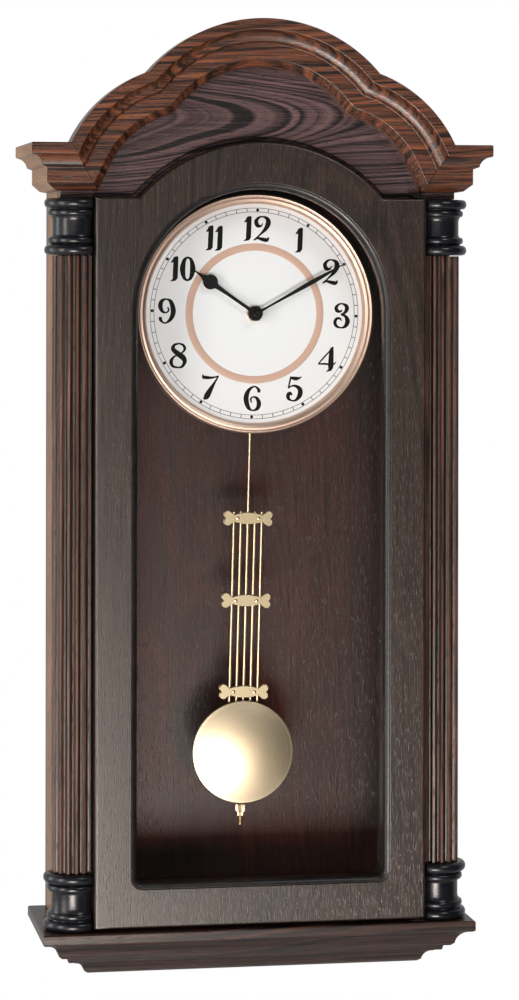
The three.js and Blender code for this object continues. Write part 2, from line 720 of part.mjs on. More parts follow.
const HOUR_HUB_R = 5.4;
const HOUR_DISC = { at: 40, r: 5.6 };       // the round swelling of the hour hand
const HOUR_EDGE = [
  [1.2, 16],
  [1.8, HOUR_DISC.at - HOUR_DISC.r - 2],
  ...arc(0, HOUR_DISC.at, HOUR_DISC.r, -68, 60, 8),
  [1.2, HOUR_DISC.at + HOUR_DISC.r + 2.4],
  [0.4, HOUR_HAND_LEN],
];
const MINUTE_HUB_R = 4.6;
const MINUTE_EDGE = [[0.9, 22], [1.7, 44], [1.2, 60], [0.4, MINUTE_HAND_LEN]];
const HOUR_SEAT_R = PIPE_R - 0.7;           // the hour pipe's neck, which carries the hour hand

add('dial_support', dialSupport(), DARK_OAK);
add('dial_plate', dialPlate(), DIAL_WHITE);
add('dial_bezel', bezel(), CHAMPAGNE);
const hourHand = clockHand(HOUR_HUB_R, HOUR_EDGE, HOUR_HAND_DEPTH, HOUR_SEAT_R + GAP, HOUR_ANGLE);
const minuteHand = clockHand(MINUTE_HUB_R, MINUTE_EDGE, MINUTE_HAND_DEPTH, ARBOR_R + 0.1, MINUTE_ANGLE);
add('hour_hand', hourHand, HAND_BLACK);
add('minute_hand', minuteHand, HAND_BLACK);

// ---------------------------------------------------------------- movement
// A gear outline with straight-sided teeth. phase is the angle of one tooth, anticlockwise from +X.
function gearOutline(teeth, pitchR, phase, cx, cz) {
  const pitch = 2 * Math.PI / teeth;
  const module = 2 * pitchR / teeth;
  const root = pitchR - 1.15 * module;
  const tip = pitchR + 0.75 * module;
  const points = [];
  for (let i = 0; i < teeth; i += 1) {
    const middle = phase + i * pitch;
    for (const [r, offset] of [[root, -0.27], [tip, -0.1], [tip, 0.1], [root, 0.27]]) {
      const angle = middle + offset * pitch;
      points.push([cx + r * Math.cos(angle), cz + r * Math.sin(angle)]);
    }
  }
  return points;
}

const radians = THREE.MathUtils.degToRad;
const ratioR = (own, other) => GEAR_DISTANCE * own / (own + other);
const WHEEL_X = -GEAR_DISTANCE;
const SETTING_X = WHEEL_X + GEAR_DISTANCE * Math.cos(radians(SETTING_ANGLE));
const SETTING_Z = HUB_Z + GEAR_DISTANCE * Math.sin(radians(SETTING_ANGLE));
const WHEEL_PITCH = 2 * Math.PI / WHEEL_TEETH;
const WHEEL_PHASE = WHEEL_PITCH / 2;

// Phase of a gear that meshes with the motion wheel in the given direction from the wheel.
function meshingPhase(teeth, direction) {
  const fraction = (direction - WHEEL_PHASE) / WHEEL_PITCH;
  return direction + Math.PI + (fraction + 0.5) * 2 * Math.PI / teeth;
}

// Depths of the motion work, from its rear pivots to the arbor's threaded tip.
const PIVOT_BACK = 50.2;
const STAFF_FRONT = 63.4;
const STAFF_R = 0.8;
const ARBOR_TIP = 82.4;
const MINUTE_PINION_DEPTHS = [55.2, 58.2];
const SETTING_PINION_DEPTHS = [55.4, 58];
const MOTION_WHEEL_DEPTHS = [56.2, 57.2];
const MOTION_PINION_DEPTHS = [57, 61.6];
const HOUR_WHEEL_DEPTHS = [59.8, 61];

function minuteArbor() {
  const r = ratioR(MINUTE_TEETH, WHEEL_TEETH);
  const teeth = gearOutline(MINUTE_TEETH, r, meshingPhase(MINUTE_TEETH, 0), 0, HUB_Z);
  const shoulder = MINUTE_HAND_DEPTH - 0.6;
  const threadR = ARBOR_R - 0.3;
  const pivotEnd = PIVOT_BACK + 1.8;
  const shaft = turnedOut([
    [0, ARBOR_TIP],
    [threadR, ARBOR_TIP],
    [threadR, shoulder],
    [ARBOR_R, shoulder],
    [ARBOR_R, pivotEnd],
    [STAFF_R, pivotEnd],
    [STAFF_R, PIVOT_BACK],
    [0, PIVOT_BACK],
  ], 16, 0, HUB_Z);
  return join(board(teeth, ...MINUTE_PINION_DEPTHS), shaft);
}

function hourWheel() {
  const [wheelBack, wheelFront] = HOUR_WHEEL_DEPTHS;
  const r = ratioR(HOUR_TEETH, PINION_TEETH);
  const teeth = gearOutline(HOUR_TEETH, r, Math.PI + Math.PI / HOUR_TEETH, 0, HUB_Z);
  const wheel = board(teeth, wheelBack, wheelFront);
  const pipe = disc(PIPE_R, wheelBack + 0.2, HOUR_HAND_DEPTH - GAP, 20, 0, HUB_Z);
  const neck = disc(HOUR_SEAT_R, wheelBack + 0.2, HOUR_HAND_DEPTH + HAND_T + 0.8, 20, 0, HUB_Z);
  const bore = disc(ARBOR_R + 0.2, PIVOT_BACK, CORNICE_DEPTH, 20, 0, HUB_Z);
  return cut(join(wheel, pipe, neck), bore);
}

function motionWheel() {
  const wheelR = ratioR(WHEEL_TEETH, MINUTE_TEETH);
  const pinionR = ratioR(PINION_TEETH, HOUR_TEETH);
  const wheel = board(gearOutline(WHEEL_TEETH, wheelR, WHEEL_PHASE, WHEEL_X, HUB_Z), ...MOTION_WHEEL_DEPTHS);
  const pinion = board(gearOutline(PINION_TEETH, pinionR, 0, WHEEL_X, HUB_Z), ...MOTION_PINION_DEPTHS);
  const staff = disc(STAFF_R, PIVOT_BACK, STAFF_FRONT, 12, WHEEL_X, HUB_Z);
  return join(wheel, pinion, staff);
}

const KNOB_BACK = 42.5;
const KNOB_R = 6.6;
const KNOB_RIBS = 14;
const SETTING_SHAFT_R = 1.5;

function settingKnob() {
  const r = ratioR(MINUTE_TEETH, WHEEL_TEETH);
  const phase = meshingPhase(MINUTE_TEETH, radians(SETTING_ANGLE));
  const pinion = board(gearOutline(MINUTE_TEETH, r, phase, SETTING_X, SETTING_Z), ...SETTING_PINION_DEPTHS);
  const shaft = disc(SETTING_SHAFT_R, KNOB_BACK + 1.5, STAFF_FRONT, 16, SETTING_X, SETTING_Z);
  const grip = board(gearOutline(KNOB_RIBS, KNOB_R, 0, SETTING_X, SETTING_Z), KNOB_BACK, MOVE_BACK - 0.6);
  return join(pinion, shaft, grip);
}

const BATTERY_Z = HUB_Z - 19.2;
const BATTERY_DEPTH = 56.8;
const PIVOT_Z = HUB_Z - PIVOT_DROP;
const PIVOT_R = 1.6;
const PIVOT_FRONT = 64.4;            // tip of the pin that carries the pendulum
const TONGUE_HALF = 9;               // half width of the tongue below the housing that holds the pin

function rearHousing() {
  const front = MOVE_FRONT - WALL_T - GAP;
  const outer = block(-MOVE_HALF, MOVE_HALF, MOVE_BACK, front, HUB_Z - MOVE_HALF, HUB_Z + MOVE_HALF);
  const inner = MOVE_HALF - WALL_T;
  const room = block(-inner, inner, MOVE_BACK + WALL_T, MOVE_FRONT, HUB_Z - inner, HUB_Z + inner);
  const tongueTop = HUB_Z - MOVE_HALF + EPS;
  const tongue = block(-TONGUE_HALF, TONGUE_HALF, MOVE_BACK, MOVE_BACK + WALL_T, PIVOT_Z - 5, tongueTop);
  const pin = disc(PIVOT_R, MOVE_BACK, PIVOT_FRONT, 16, 0, PIVOT_Z);
  const boss = disc(PIVOT_R + WALL_T, MOVE_BACK, PEND_DEPTH - 2.2, 16, 0, PIVOT_Z);
  const knobHole = disc(SETTING_SHAFT_R + GAP, 0, MOVE_BACK + WALL_T + EPS, 16, SETTING_X, SETTING_Z);
  return cut(join(cut(outer, room), tongue, pin, boss), knobHole);
}

function frontHousing() {
  const back = MOVE_FRONT - WALL_T;
  const lid = block(-MOVE_HALF, MOVE_HALF, back, MOVE_FRONT, HUB_Z - MOVE_HALF, HUB_Z + MOVE_HALF);
  const bushing = disc(BUSH_R, back, BUSH_FRONT, 24, 0, HUB_Z);
  return cut(join(lid, bushing), disc(BUSH_BORE_R, 0, CORNICE_DEPTH, 24, 0, HUB_Z));
}

function fixingNut() {
  const hexagon = arc(0, HUB_Z, FIXING_NUT_R, 0, 300, 5);
  return cut(
    board(hexagon, DIAL_DEPTH + DIAL_T + GAP, BUSH_FRONT - 0.2),
    disc(BUSH_R + 0.2, 0, CORNICE_DEPTH, 24, 0, HUB_Z),
  );
}

// Stepping motor: the stator plate holds the rotor in a round hole and carries the coil on its leg.
const ROTOR = [19, HUB_Z + 9];
const ROTOR_R = 3;
const ROTOR_DEPTHS = [51.6, 56.6];
const STATOR_X = [8.5, 26];
const STATOR_RIM = 2;
const STATOR_DEPTHS = [53, 54.4];
const COIL_WINDING = 2.4;            // thickness of the winding around the leg
const LEG_Z = HUB_Z - 3.5;

function stator() {
  const [depth0, depth1] = STATOR_DEPTHS;
  const [x0, x1] = STATOR_X;
  const plate = block(x0, x1, depth0, depth1, HUB_Z - 5, HUB_Z + 15);
  const window = block(x0 + STATOR_RIM, x1 - STATOR_RIM, depth0 - EPS, depth1 + EPS, HUB_Z - 2, HUB_Z + 3);
  return cut(plate, window, disc(ROTOR_R + 0.6, 0, CORNICE_DEPTH, 20, ...ROTOR));
}

function motorCoil() {
  const [depth0, depth1] = STATOR_DEPTHS;
  const [x0, x1] = STATOR_X;
  const legHalf = 1.8;
  const outer = [depth0 - COIL_WINDING, depth1 + COIL_WINDING, LEG_Z - legHalf - 2, LEG_Z + legHalf + 2];
  const spool = block(x0 + 2.7, x1 - 2.6, ...outer);
  return cut(spool, block(x0 - EPS, x1 + EPS, depth0 - GAP, depth1 + GAP, LEG_Z - legHalf, LEG_Z + legHalf));
}

function batteryCell() {
  const half = BATTERY_LEN / 2;
  const cap = half - 1.6;
  const r = BATTERY_CAP_R;
  const profile = [[0, -half], [BATTERY_R, -half], [BATTERY_R, cap], [r, cap], [r, half], [0, half]];
  return turnedUp(profile, 24).rotateY(Math.PI / 2).translate(0, -BATTERY_DEPTH, BATTERY_Z);
}

function contact(sign) {
  const x = sign * (MOVE_HALF - WALL_T - 0.9);
  const [x0, x1] = [Math.min(x, x + sign * 0.5), Math.max(x, x + sign * 0.5)];
  return block(x0, x1, BATTERY_DEPTH - 5, BATTERY_DEPTH + 5, BATTERY_Z - 6, BATTERY_Z + 9);
}

// The cap nut that holds the minute hand.
function handNut() {
  const r = 2.4;
  const [back, front] = [ARBOR_TIP - 1.4, ARBOR_TIP + 1.2];
  const bore = ARBOR_R - 0.2;
  const boreEnd = ARBOR_TIP + 0.4;
  return turnedOut([[0, front], [r - 0.8, front], [r, front - 0.7], [r, back], [bore, back], [bore, boreEnd],
    [0, boreEnd]], 20, 0, HUB_Z);
}

add('movement_rear_housing', rearHousing(), BLACK_PLASTIC);
add('movement_front_housing', frontHousing(), BLACK_PLASTIC);
add('movement_fixing_nut', fixingNut(), BRASS);
add('minute_arbor', minuteArbor(), STEEL);
add('hour_wheel', hourWheel(), WHITE_PLASTIC);
add('motion_wheel', motionWheel(), WHITE_PLASTIC);
add('time_setting_knob', settingKnob(), WHITE_PLASTIC);
add('motor_stator', stator(), STEEL);
add('motor_coil', motorCoil(), COPPER);
add('motor_rotor', disc(ROTOR_R, ...ROTOR_DEPTHS, 20, ...ROTOR), STEEL);
add('circuit_board', block(-26, 26, 50, 51.2, HUB_Z + 16, HUB_Z + 26), BOARD_GREEN);
add('battery', batteryCell(), BLACK_LACQUER);
add('battery_contact_negative', contact(-1), STEEL);
add('battery_contact_positive', contact(1), STEEL);
add('hand_nut', handNut(), BRASS);

// ---------------------------------------------------------------- pendulum
// Built hanging straight down from the pivot, then leaned to its rest pose.
const pendulum = new THREE.Group();
pendulum.position.set(0, -PEND_DEPTH, PIVOT_Z);
pendulum.rotation.y = radians(TILT);
clock.add(pendulum);

// Local frames inside the pendulum group: depth is measured from the rods' plane, z from the pivot.
const SHEET = 0.9;
const SANDWICH = 2.4;               // rods' plane to the outer face of a grid plate
const HOOK_DROP = 12;
const ROD_TOP = -15;
const BOB_BACK = 2.8;
const BOB_BULGE = 8.2;
const THREAD_R = 1.4;
const THREAD_DROP = BOB_DROP + 32;

function hangerArm() {
  const outline = [
    ...arc(0, 0, 4.4, -50, 230, 14),
    [-2, -6],
    [-2, -HOOK_DROP],
    [2, -HOOK_DROP],
    [2, -6],
  ];
  const strap = board(outline, -1.4, 1.4);
  const socket = block(-2.6, 2.6, -2.4, 2.4, ROD_TOP - 6, -HOOK_DROP + EPS);
  const bore = disc(PIVOT_R + GAP, -3, 3, 16, 0, 0);
  const rodSeat = rod(ROD_R + GAP, ROD_TOP - 7, ROD_TOP + GAP, 12);
  return cut(join(strap, socket), bore, rodSeat);
}

// The centre rod runs from the hanger to the rating thread.
function centreRod() {
  return turnedUp([
    [0, -ROD_END_DROP],
    [THREAD_R - 0.5, -ROD_END_DROP],
    [THREAD_R, -ROD_END_DROP + 0.6],
    [THREAD_R, -THREAD_DROP - 1],
    [ROD_R, -THREAD_DROP],
    [ROD_R, ROD_TOP],
    [0, ROD_TOP],
  ], 12);
}

// A grid plate: two bone-shaped sheets in front of and behind the rods, joined by two rivets between the rods.
const LOBE = { x: 15.2, z: 2.6, r: 2.8 };   // one of the four round lobes at the plate's ends
const RIVET_X = 1.5 * ROD_PITCH;
const RIVET_R = 1.2;

function gridPlate(drop) {
  const lobeArc = arc(LOBE.x, LOBE.z, LOBE.r, 130, -60, 6);
  const upper = [[0, 4.2], [5, 3.9], [10.6, 2.4], ...lobeArc, [LOBE.x + 1.4, 0]];
  const right = [...upper, ...upper.slice(1, -1).map(([x, z]) => [x, -z]).reverse(), [0, -upper[0][1]]];
  const left = right.slice(1, -1).map(([x, z]) => [-x, z]).reverse();
  const sheet = (depth0, depth1) =>
    board([...right, ...left].map(([x, z]) => [x, z - drop]), depth0, depth1);
  const rivets = [-RIVET_X, RIVET_X].map((x) => disc(RIVET_R, -SANDWICH + 0.4, SANDWICH - 0.4, 12, x, -drop));
  return join(sheet(SANDWICH - SHEET, SANDWICH), sheet(-SANDWICH, -SANDWICH + SHEET), ...rivets);
}

function bobShell() {
  const edge = BOB_BACK + 1.6;
  const outer = [[0, BOB_BACK + BOB_BULGE]];
  const inner = [];
  const steps = 6;
  for (let i = 1; i <= steps; i += 1) {
    const fall = (BOB_BULGE - 2.2) * (i / steps) ** 2;
    outer.push([BOB_R * i / steps, BOB_BACK + BOB_BULGE - fall]);
    inner.unshift([(BOB_R - 1.4) * i / steps, BOB_BACK + BOB_BULGE - 1 - fall]);
  }
  return turnedOut([...outer, [BOB_R, edge - 1], [BOB_R - 1.4, edge - 1], ...inner,
    [0, BOB_BACK + BOB_BULGE - 1]], 32, 0, -BOB_DROP);
}

// The bob's back plate has two lugs that ride on the centre rod.
function bobBack() {
  const plate = disc(BOB_R - 1.8, BOB_BACK, BOB_BACK + 1, 32, 0, -BOB_DROP);
  const lugs = [20, -24].map((z) => block(-3, 3, -2.4, BOB_BACK + 0.5, z - 2 - BOB_DROP, z + 2 - BOB_DROP));
  const slide = rod(ROD_R + GAP, -BOB_DROP - 40, -BOB_DROP + 40, 12);
  return cut(join(plate, ...lugs), slide);
}

const NUT_R = 4;
const NUT_H = 5.6;
const NUT_KNURLS = 14;
const NUT_NECK_R = 2.4;

function ratingNut() {
  const outline = [];
  for (let i = 0; i < 2 * NUT_KNURLS; i += 1) {
    const r = i % 2 ? NUT_R - 0.5 : NUT_R;
    const angle = Math.PI * i / NUT_KNURLS;
    outline.push(new THREE.Vector2(r * Math.cos(angle), r * Math.sin(angle)));
  }
  const knob = new THREE.ExtrudeGeometry(new THREE.Shape(outline), { depth: NUT_H, bevelEnabled: false });
  knob.translate(0, 0, -NUT_DROP - NUT_H / 2);
  const neck = rod(NUT_NECK_R, -NUT_DROP - 6, -NUT_DROP - 2, 16);
  const bore = rod(THREAD_R + GAP, -NUT_DROP - 10, -NUT_DROP + 10, 12);
  return cut(join(knob, neck), bore);
}

add('pendulum_hanger_arm', hangerArm(), BRASS, pendulum);
add('pendulum_centre_rod', centreRod(), BRASS, pendulum);
GRID_PLATE_DROPS.forEach((drop, i) => add(`grid_plate_${i + 1}`, gridPlate(drop), BRASS, pendulum));
const [firstPlate] = GRID_PLATE_DROPS;
const lastPlate = GRID_PLATE_DROPS[GRID_PLATE_DROPS.length - 1];
[-2, -1, 1, 2].forEach((place, i) => {
  const bar = rod(ROD_R, -lastPlate - 8, -firstPlate + 5, 12).translate(place * ROD_PITCH, 0, 0);
  add(`grid_rod_${i + 1}`, bar, BRASS, pendulum);
});
add('bob_front', bobShell(), BRASS, pendulum);
add('bob_back', bobBack(), BRASS, pendulum);
add('rating_nut', ratingNut(), BRASS, pendulum);

export default clock;
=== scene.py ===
"""Looks of the pendulum wall clock: fine pieces, materials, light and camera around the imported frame.

Shapes are in millimetres in the row frame: +X right, +Z up, the wall at y = 0 and the front facing -Y.
A "depth" is a distance from the wall towards the room, so a point at depth d has y = -d.
Light, camera and material scales are in metres.
"""
import json
import math

import bmesh
import bpy
from mathutils import Matrix, Vector


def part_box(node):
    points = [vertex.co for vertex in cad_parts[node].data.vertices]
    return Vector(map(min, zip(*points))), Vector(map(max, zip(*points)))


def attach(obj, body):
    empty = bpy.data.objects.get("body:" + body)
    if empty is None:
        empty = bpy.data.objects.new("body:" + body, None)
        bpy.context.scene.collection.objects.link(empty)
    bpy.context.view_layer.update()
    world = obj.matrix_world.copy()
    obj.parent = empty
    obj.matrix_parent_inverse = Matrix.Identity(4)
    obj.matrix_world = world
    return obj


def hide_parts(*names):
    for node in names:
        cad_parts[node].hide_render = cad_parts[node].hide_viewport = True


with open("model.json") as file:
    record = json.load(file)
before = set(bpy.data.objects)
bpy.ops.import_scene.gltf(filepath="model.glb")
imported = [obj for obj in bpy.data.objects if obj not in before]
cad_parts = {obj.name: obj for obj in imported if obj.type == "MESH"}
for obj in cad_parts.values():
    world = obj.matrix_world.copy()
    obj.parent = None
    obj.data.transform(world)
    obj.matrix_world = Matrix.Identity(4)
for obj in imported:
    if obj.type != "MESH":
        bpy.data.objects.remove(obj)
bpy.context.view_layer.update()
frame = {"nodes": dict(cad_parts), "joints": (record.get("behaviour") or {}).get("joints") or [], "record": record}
MM = 0.001


def low(node):
    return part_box(node)[0] / MM


def high(node):
    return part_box(node)[1] / MM


# ---- sizes read from the frame
CORNICE_TOP = high("cornice_return_left").z
CORNICE_HALF = high("cornice_return_right").x
CORNICE_DEPTH = -low("arch_moulding").y
ARCH_RISE = high("arch_moulding").z - CORNICE_TOP
FOOT_X = high("arch_moulding").x
NECK_DEPTH = -low("pediment_panel").y
PANEL_BACK = -high("pediment_panel").y
NECK_Z = low("pediment_panel").z
CASE_HALF = high("side_panel_right").x
PLINTH_TOP = high("base_board_upper").z
PLINTH_HALF = high("base_board_upper").x
PLINTH_DEPTH = -low("base_board_upper").y
DOOR_HALF = high("door_frame").x
DOOR_FRONT = -low("door_frame").y
DOOR_BACK = -high("door_frame").y
DOOR_BOTTOM = low("door_frame").z
DOOR_ARCH_TOP = high("door_frame").z
GLASS_EDGE = 5.7                     # how far the glass runs past the opening
GLASS_FRONT = -low("door_glass").y
OPENING_HALF = high("door_glass").x - GLASS_EDGE
OPENING_BOTTOM = low("door_glass").z + GLASS_EDGE
HUB_Z = (low("dial_bezel").z + high("dial_bezel").z) / 2
BEZEL_R = high("dial_bezel").x
BEZEL_FRONT = -low("dial_bezel").y
BEZEL_BACK = -high("dial_bezel").y
DIAL_R = high("dial_plate").x
DIAL_BACK = -high("dial_plate").y
DIAL_FRONT = -low("dial_plate").y
SHAFT_R = 16.0
FLUTE_DEPTH = 2.2
COLUMN_X = high("column_shaft_right").x - SHAFT_R
COLUMN_DEPTH = -low("column_shaft_right").y - SHAFT_R
COLUMN_FLAT_X = low("column_shaft_right").x
COLUMN_FLAT_DEPTH = -high("column_shaft_right").y
PIVOT = Vector(next(j["pos_m"] for j in frame["joints"] if j["name"] == "pendulum_swing")) / MM
BOB_CENTRE = (low("bob_front") + high("bob_front")) / 2
LEAN = math.atan2(PIVOT.x - BOB_CENTRE.x, PIVOT.z - BOB_CENTRE.z)
GAP = 0.3                            # clearance that touching meshes keep
WELD_REACH = 1e-6                    # in metres
ROUND_STEPS = 192                    # segments of a dial-sized circle


# ---- lines and outlines
def arc(cx, cz, r, degrees0, degrees1, steps):
    turns = [math.radians(degrees0 + (degrees1 - degrees0) * i / steps) for i in range(steps + 1)]
    return [(cx + r * math.cos(t), cz + r * math.sin(t)) for t in turns]


def fillet(points, radius, steps=3, least=20.0):
    """The same line with its corners rounded, where it turns by more than least degrees."""
    line = [Vector(p) for p in points]
    out = [tuple(line[0])]
    for before, corner, after in zip(line, line[1:], line[2:]):
        back, on = before - corner, after - corner
        turn = math.pi - back.angle(on)
        if math.degrees(turn) < least:
            out.append(tuple(corner))
            continue
        reach = min(radius * math.tan(turn / 2), back.length / 2.2, on.length / 2.2)
        start, end = corner + back.normalized() * reach, corner + on.normalized() * reach
        for i in range(steps + 1):
            t = i / steps
            out.append(tuple((1 - t) ** 2 * start + 2 * t * (1 - t) * corner + t * t * end))
    out.append(tuple(line[-1]))
    return out


def smooth_line(points, steps):
    """A Catmull-Rom line through points of any number of values."""
    line = [Vector(p) for p in points]
    line = [line[0] * 2 - line[1], *line, line[-1] * 2 - line[-2]]
    out = []
    for a, b, c, d in zip(line, line[1:], line[2:], line[3:]):
        for i in range(steps):
            t = i / steps
            out.append(0.5 * (2 * b + (c - a) * t + (2 * a - 5 * b + 4 * c - d) * t * t
                              + (3 * b - a - 3 * c + d) * t ** 3))
    return out + [line[-2]]


def mirrored(half):
    """A closed outline from its right half, listed from the lower to the upper point on the axis."""
    return half + [(-x, z) for x, z in reversed(half[1:-1])]


# ---- solids, as (points, faces)
def skin(rings, closed=False):
    """Quads through equal rings of points. The ends are capped, or joined to each other if closed."""
    size = len(rings[0])
    points = [p for ring in rings for p in ring]
    faces = []
    last = len(rings) if closed else len(rings) - 1
    for i in range(last):
        here, there = i * size, (i + 1) % len(rings) * size
        for j in range(size):
            k = (j + 1) % size
            faces.append((here + j, here + k, there + k, there + j))
    if not closed:
        faces.append(tuple(range(size)))
        faces.append(tuple(range(len(points) - size, len(points))))
    return points, faces


def turned(profile, segments, place):
    """A turned solid from (radius, along) points; place maps (u, v, along) to a point."""
    turns = [2 * math.pi * i / segments for i in range(segments)]
    return skin([[place(r * math.cos(t), r * math.sin(t), along) for t in turns] for r, along in profile])


def turned_up(profile, segments, x, depth):
    return turned(profile, segments, lambda u, v, along: (x + u, v - depth, along))


def turned_out(profile, segments, x, z):
    return turned(profile, segments, lambda u, v, along: (x + u, -along, z + v))


def ring_out(profile, segments, x, z):
    """A turned ring about an axis square to the wall, from a closed (radius, depth) profile."""
    turns = [2 * math.pi * i / segments for i in range(segments)]
    section = [[(x + r * math.cos(t), -depth, z + r * math.sin(t)) for r, depth in profile] for t in turns]
    return skin(section, closed=True)


def plate(outline, depth0, depth1):
    return skin([[(x, -depth, z) for x, z in outline] for depth in (depth0, depth1)])


def stroke(points, depth0, depth1, steps=8):
    """A flat pen stroke through (x, z, width) points, between two depths."""
    line = smooth_line(points, steps)
    rings = []
    for i, (x, z, width) in enumerate(line):
        ahead, behind = line[min(i + 1, len(line) - 1)], line[max(i - 1, 0)]
        along = Vector((ahead[0] - behind[0], ahead[1] - behind[1])).normalized()
        sx, sz = -along[1] * width / 2, along[0] * width / 2
        rings.append([(x + sx, -depth0, z + sz), (x - sx, -depth0, z - sz),
                      (x - sx, -depth1, z - sz), (x + sx, -depth1, z + sz)])
    return skin(rings)


def moved(solid, place):
    points, faces = solid
    return [place(*p) for p in points], faces


# ---- pieces
SMOOTH_ANGLE = math.radians(38)


def make_piece(name, solids, material, body, replaces=(), bevel=0.0):
    """One mesh object from solids in mm, riding on a body and standing for CAD nodes."""
    points, faces = [], []
    for solid_points, solid_faces in solids:
        base = len(points)
        points += [Vector(p) * MM for p in solid_points]
        faces += [[base + i for i in face] for face in solid_faces]
    mesh = bpy.data.meshes.new(name)
    mesh.from_pydata(points, [], faces)
    weld = bmesh.new()
    weld.from_mesh(mesh)
    bmesh.ops.remove_doubles(weld, verts=weld.verts, dist=WELD_REACH)
    bmesh.ops.recalc_face_normals(weld, faces=weld.faces)
    weld.to_mesh(mesh)
    weld.free()
    mesh.shade_smooth()
    mesh.set_sharp_from_angle(angle=SMOOTH_ANGLE)
    mesh.materials.append(material)
    piece = bpy.data.objects.new(name, mesh)
    bpy.context.scene.collection.objects.link(piece)
    if bevel:
        soften(piece, bevel)
    even = piece.modifiers.new("even_normals", "WEIGHTED_NORMAL")
    even.keep_sharp = True
    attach(piece, body)
    if replaces:
        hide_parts(*replaces)
    return piece


def soften(piece, width, segments=2):
    """Rounds the piece's sharp edges by a width in mm."""
    bevel = piece.modifiers.new("soft_edges", "BEVEL")
    bevel.width = width * MM
    bevel.segments = segments
    bevel.limit_method = "ANGLE"
    bevel.angle_limit = SMOOTH_ANGLE
    bevel.use_clamp_overlap = True


# ---- material helpers
class Tree:
    """A node tree. Each call adds one node and returns its output."""

    def __init__(self, tree):
        self.tree = tree

    def feed(self, socket, value):
        if isinstance(value, bpy.types.NodeSocket):
            self.tree.links.new(value, socket)
        elif value is not None:
            socket.default_value = value

    def add(self, kind, **settings):
        node = self.tree.nodes.new(kind)
        for key, value in settings.items():
            setattr(node, key, value)
        return node

    def math(self, operation, a, b=None, c=None):
        node = self.add("ShaderNodeMath", operation=operation)
        for socket, value in zip(node.inputs, (a, b, c)):
            self.feed(socket, value)
        return node.outputs[0]

    def vector(self, operation, a, b=None):
        node = self.add("ShaderNodeVectorMath", operation=operation)
        self.feed(node.inputs[0], a)
        self.feed(node.inputs[1], b)
        return node.outputs["Value" if operation in ("LENGTH", "DISTANCE") else "Vector"]

    def axes(self, vector):
        node = self.add("ShaderNodeSeparateXYZ")
        self.feed(node.inputs[0], vector)
        return node.outputs

    def combine(self, x, y, z):
        node = self.add("ShaderNodeCombineXYZ")
        for socket, value in zip(node.inputs, (x, y, z)):
            self.feed(socket, value)
        return node.outputs[0]

    def noise(self, vector, scale=1.0, detail=2.0, roughness=0.5):
        node = self.add("ShaderNodeTexNoise")
        inputs = (("Vector", vector), ("Scale", scale), ("Detail", detail), ("Roughness", roughness))
        for key, value in inputs:
            self.feed(node.inputs[key], value)
        return node.outputs["Fac"]

    def noise_along(self, value, scale, detail=2.0):
        node = self.add("ShaderNodeTexNoise", noise_dimensions="1D")
        for key, number in (("W", value), ("Scale", scale), ("Detail", detail)):
            self.feed(node.inputs[key], number)
        return node.outputs["Fac"]

    def spread(self, value, low_in, high_in, low_out=0.0, high_out=1.0):
        node = self.add("ShaderNodeMapRange", clamp=True)
        for socket, number in zip(node.inputs, (value, low_in, high_in, low_out, high_out)):
            self.feed(socket, number)
        return node.outputs[0]

    def mix(self, share, a, b, blend="MIX"):
        node = self.add("ShaderNodeMix", data_type="RGBA", blend_type=blend)
        self.feed(node.inputs["Factor"], share)
        for socket, value in zip((node.inputs[6], node.inputs[7]), (a, b)):
            self.feed(socket, (*value, 1.0) if isinstance(value, tuple) and len(value) == 3 else value)
        return node.outputs[2]


class Nodes(Tree):
    """A material's node tree, with calls that feed its shader."""

    def __init__(self, name, **shader):
        self.material = bpy.data.materials.new(name)
        self.material.use_nodes = True
        super().__init__(self.material.node_tree)
        self.shader = self.tree.nodes["Principled BSDF"]
        for key, value in shader.items():
            self.feed(self.shader.inputs[key.replace("_", " ").title().replace("Ior", "IOR")], value)
        self.place = self.add("ShaderNodeTexCoord").outputs["Object"]

    def radius_from(self, x, z):
        """Distance in metres from an axis square to the wall, whose place is given in mm."""
        offset = self.axes(self.vector("SUBTRACT", self.place, (x * MM, 0.0, z * MM)))
        return self.vector("LENGTH", self.combine(offset[0], offset[2], 0.0))

    def bump(self, height, depth):
        """Relief of a 0 to 1 height over a depth in metres."""
        node = self.add("ShaderNodeBump")
        self.feed(node.inputs["Height"], height)
        self.feed(node.inputs["Distance"], depth)
        self.feed(self.shader.inputs["Normal"], node.outputs[0])

    def colour(self, value):
        self.feed(self.shader.inputs["Base Color"], value)

    def roughness(self, value):
        self.feed(self.shader.inputs["Roughness"], value)


# ---- wood
GRAINS = {"x": ("Z", "Y", "X"), "y": ("X", "Z", "Y"), "z": ("X", "Y", "Z")}


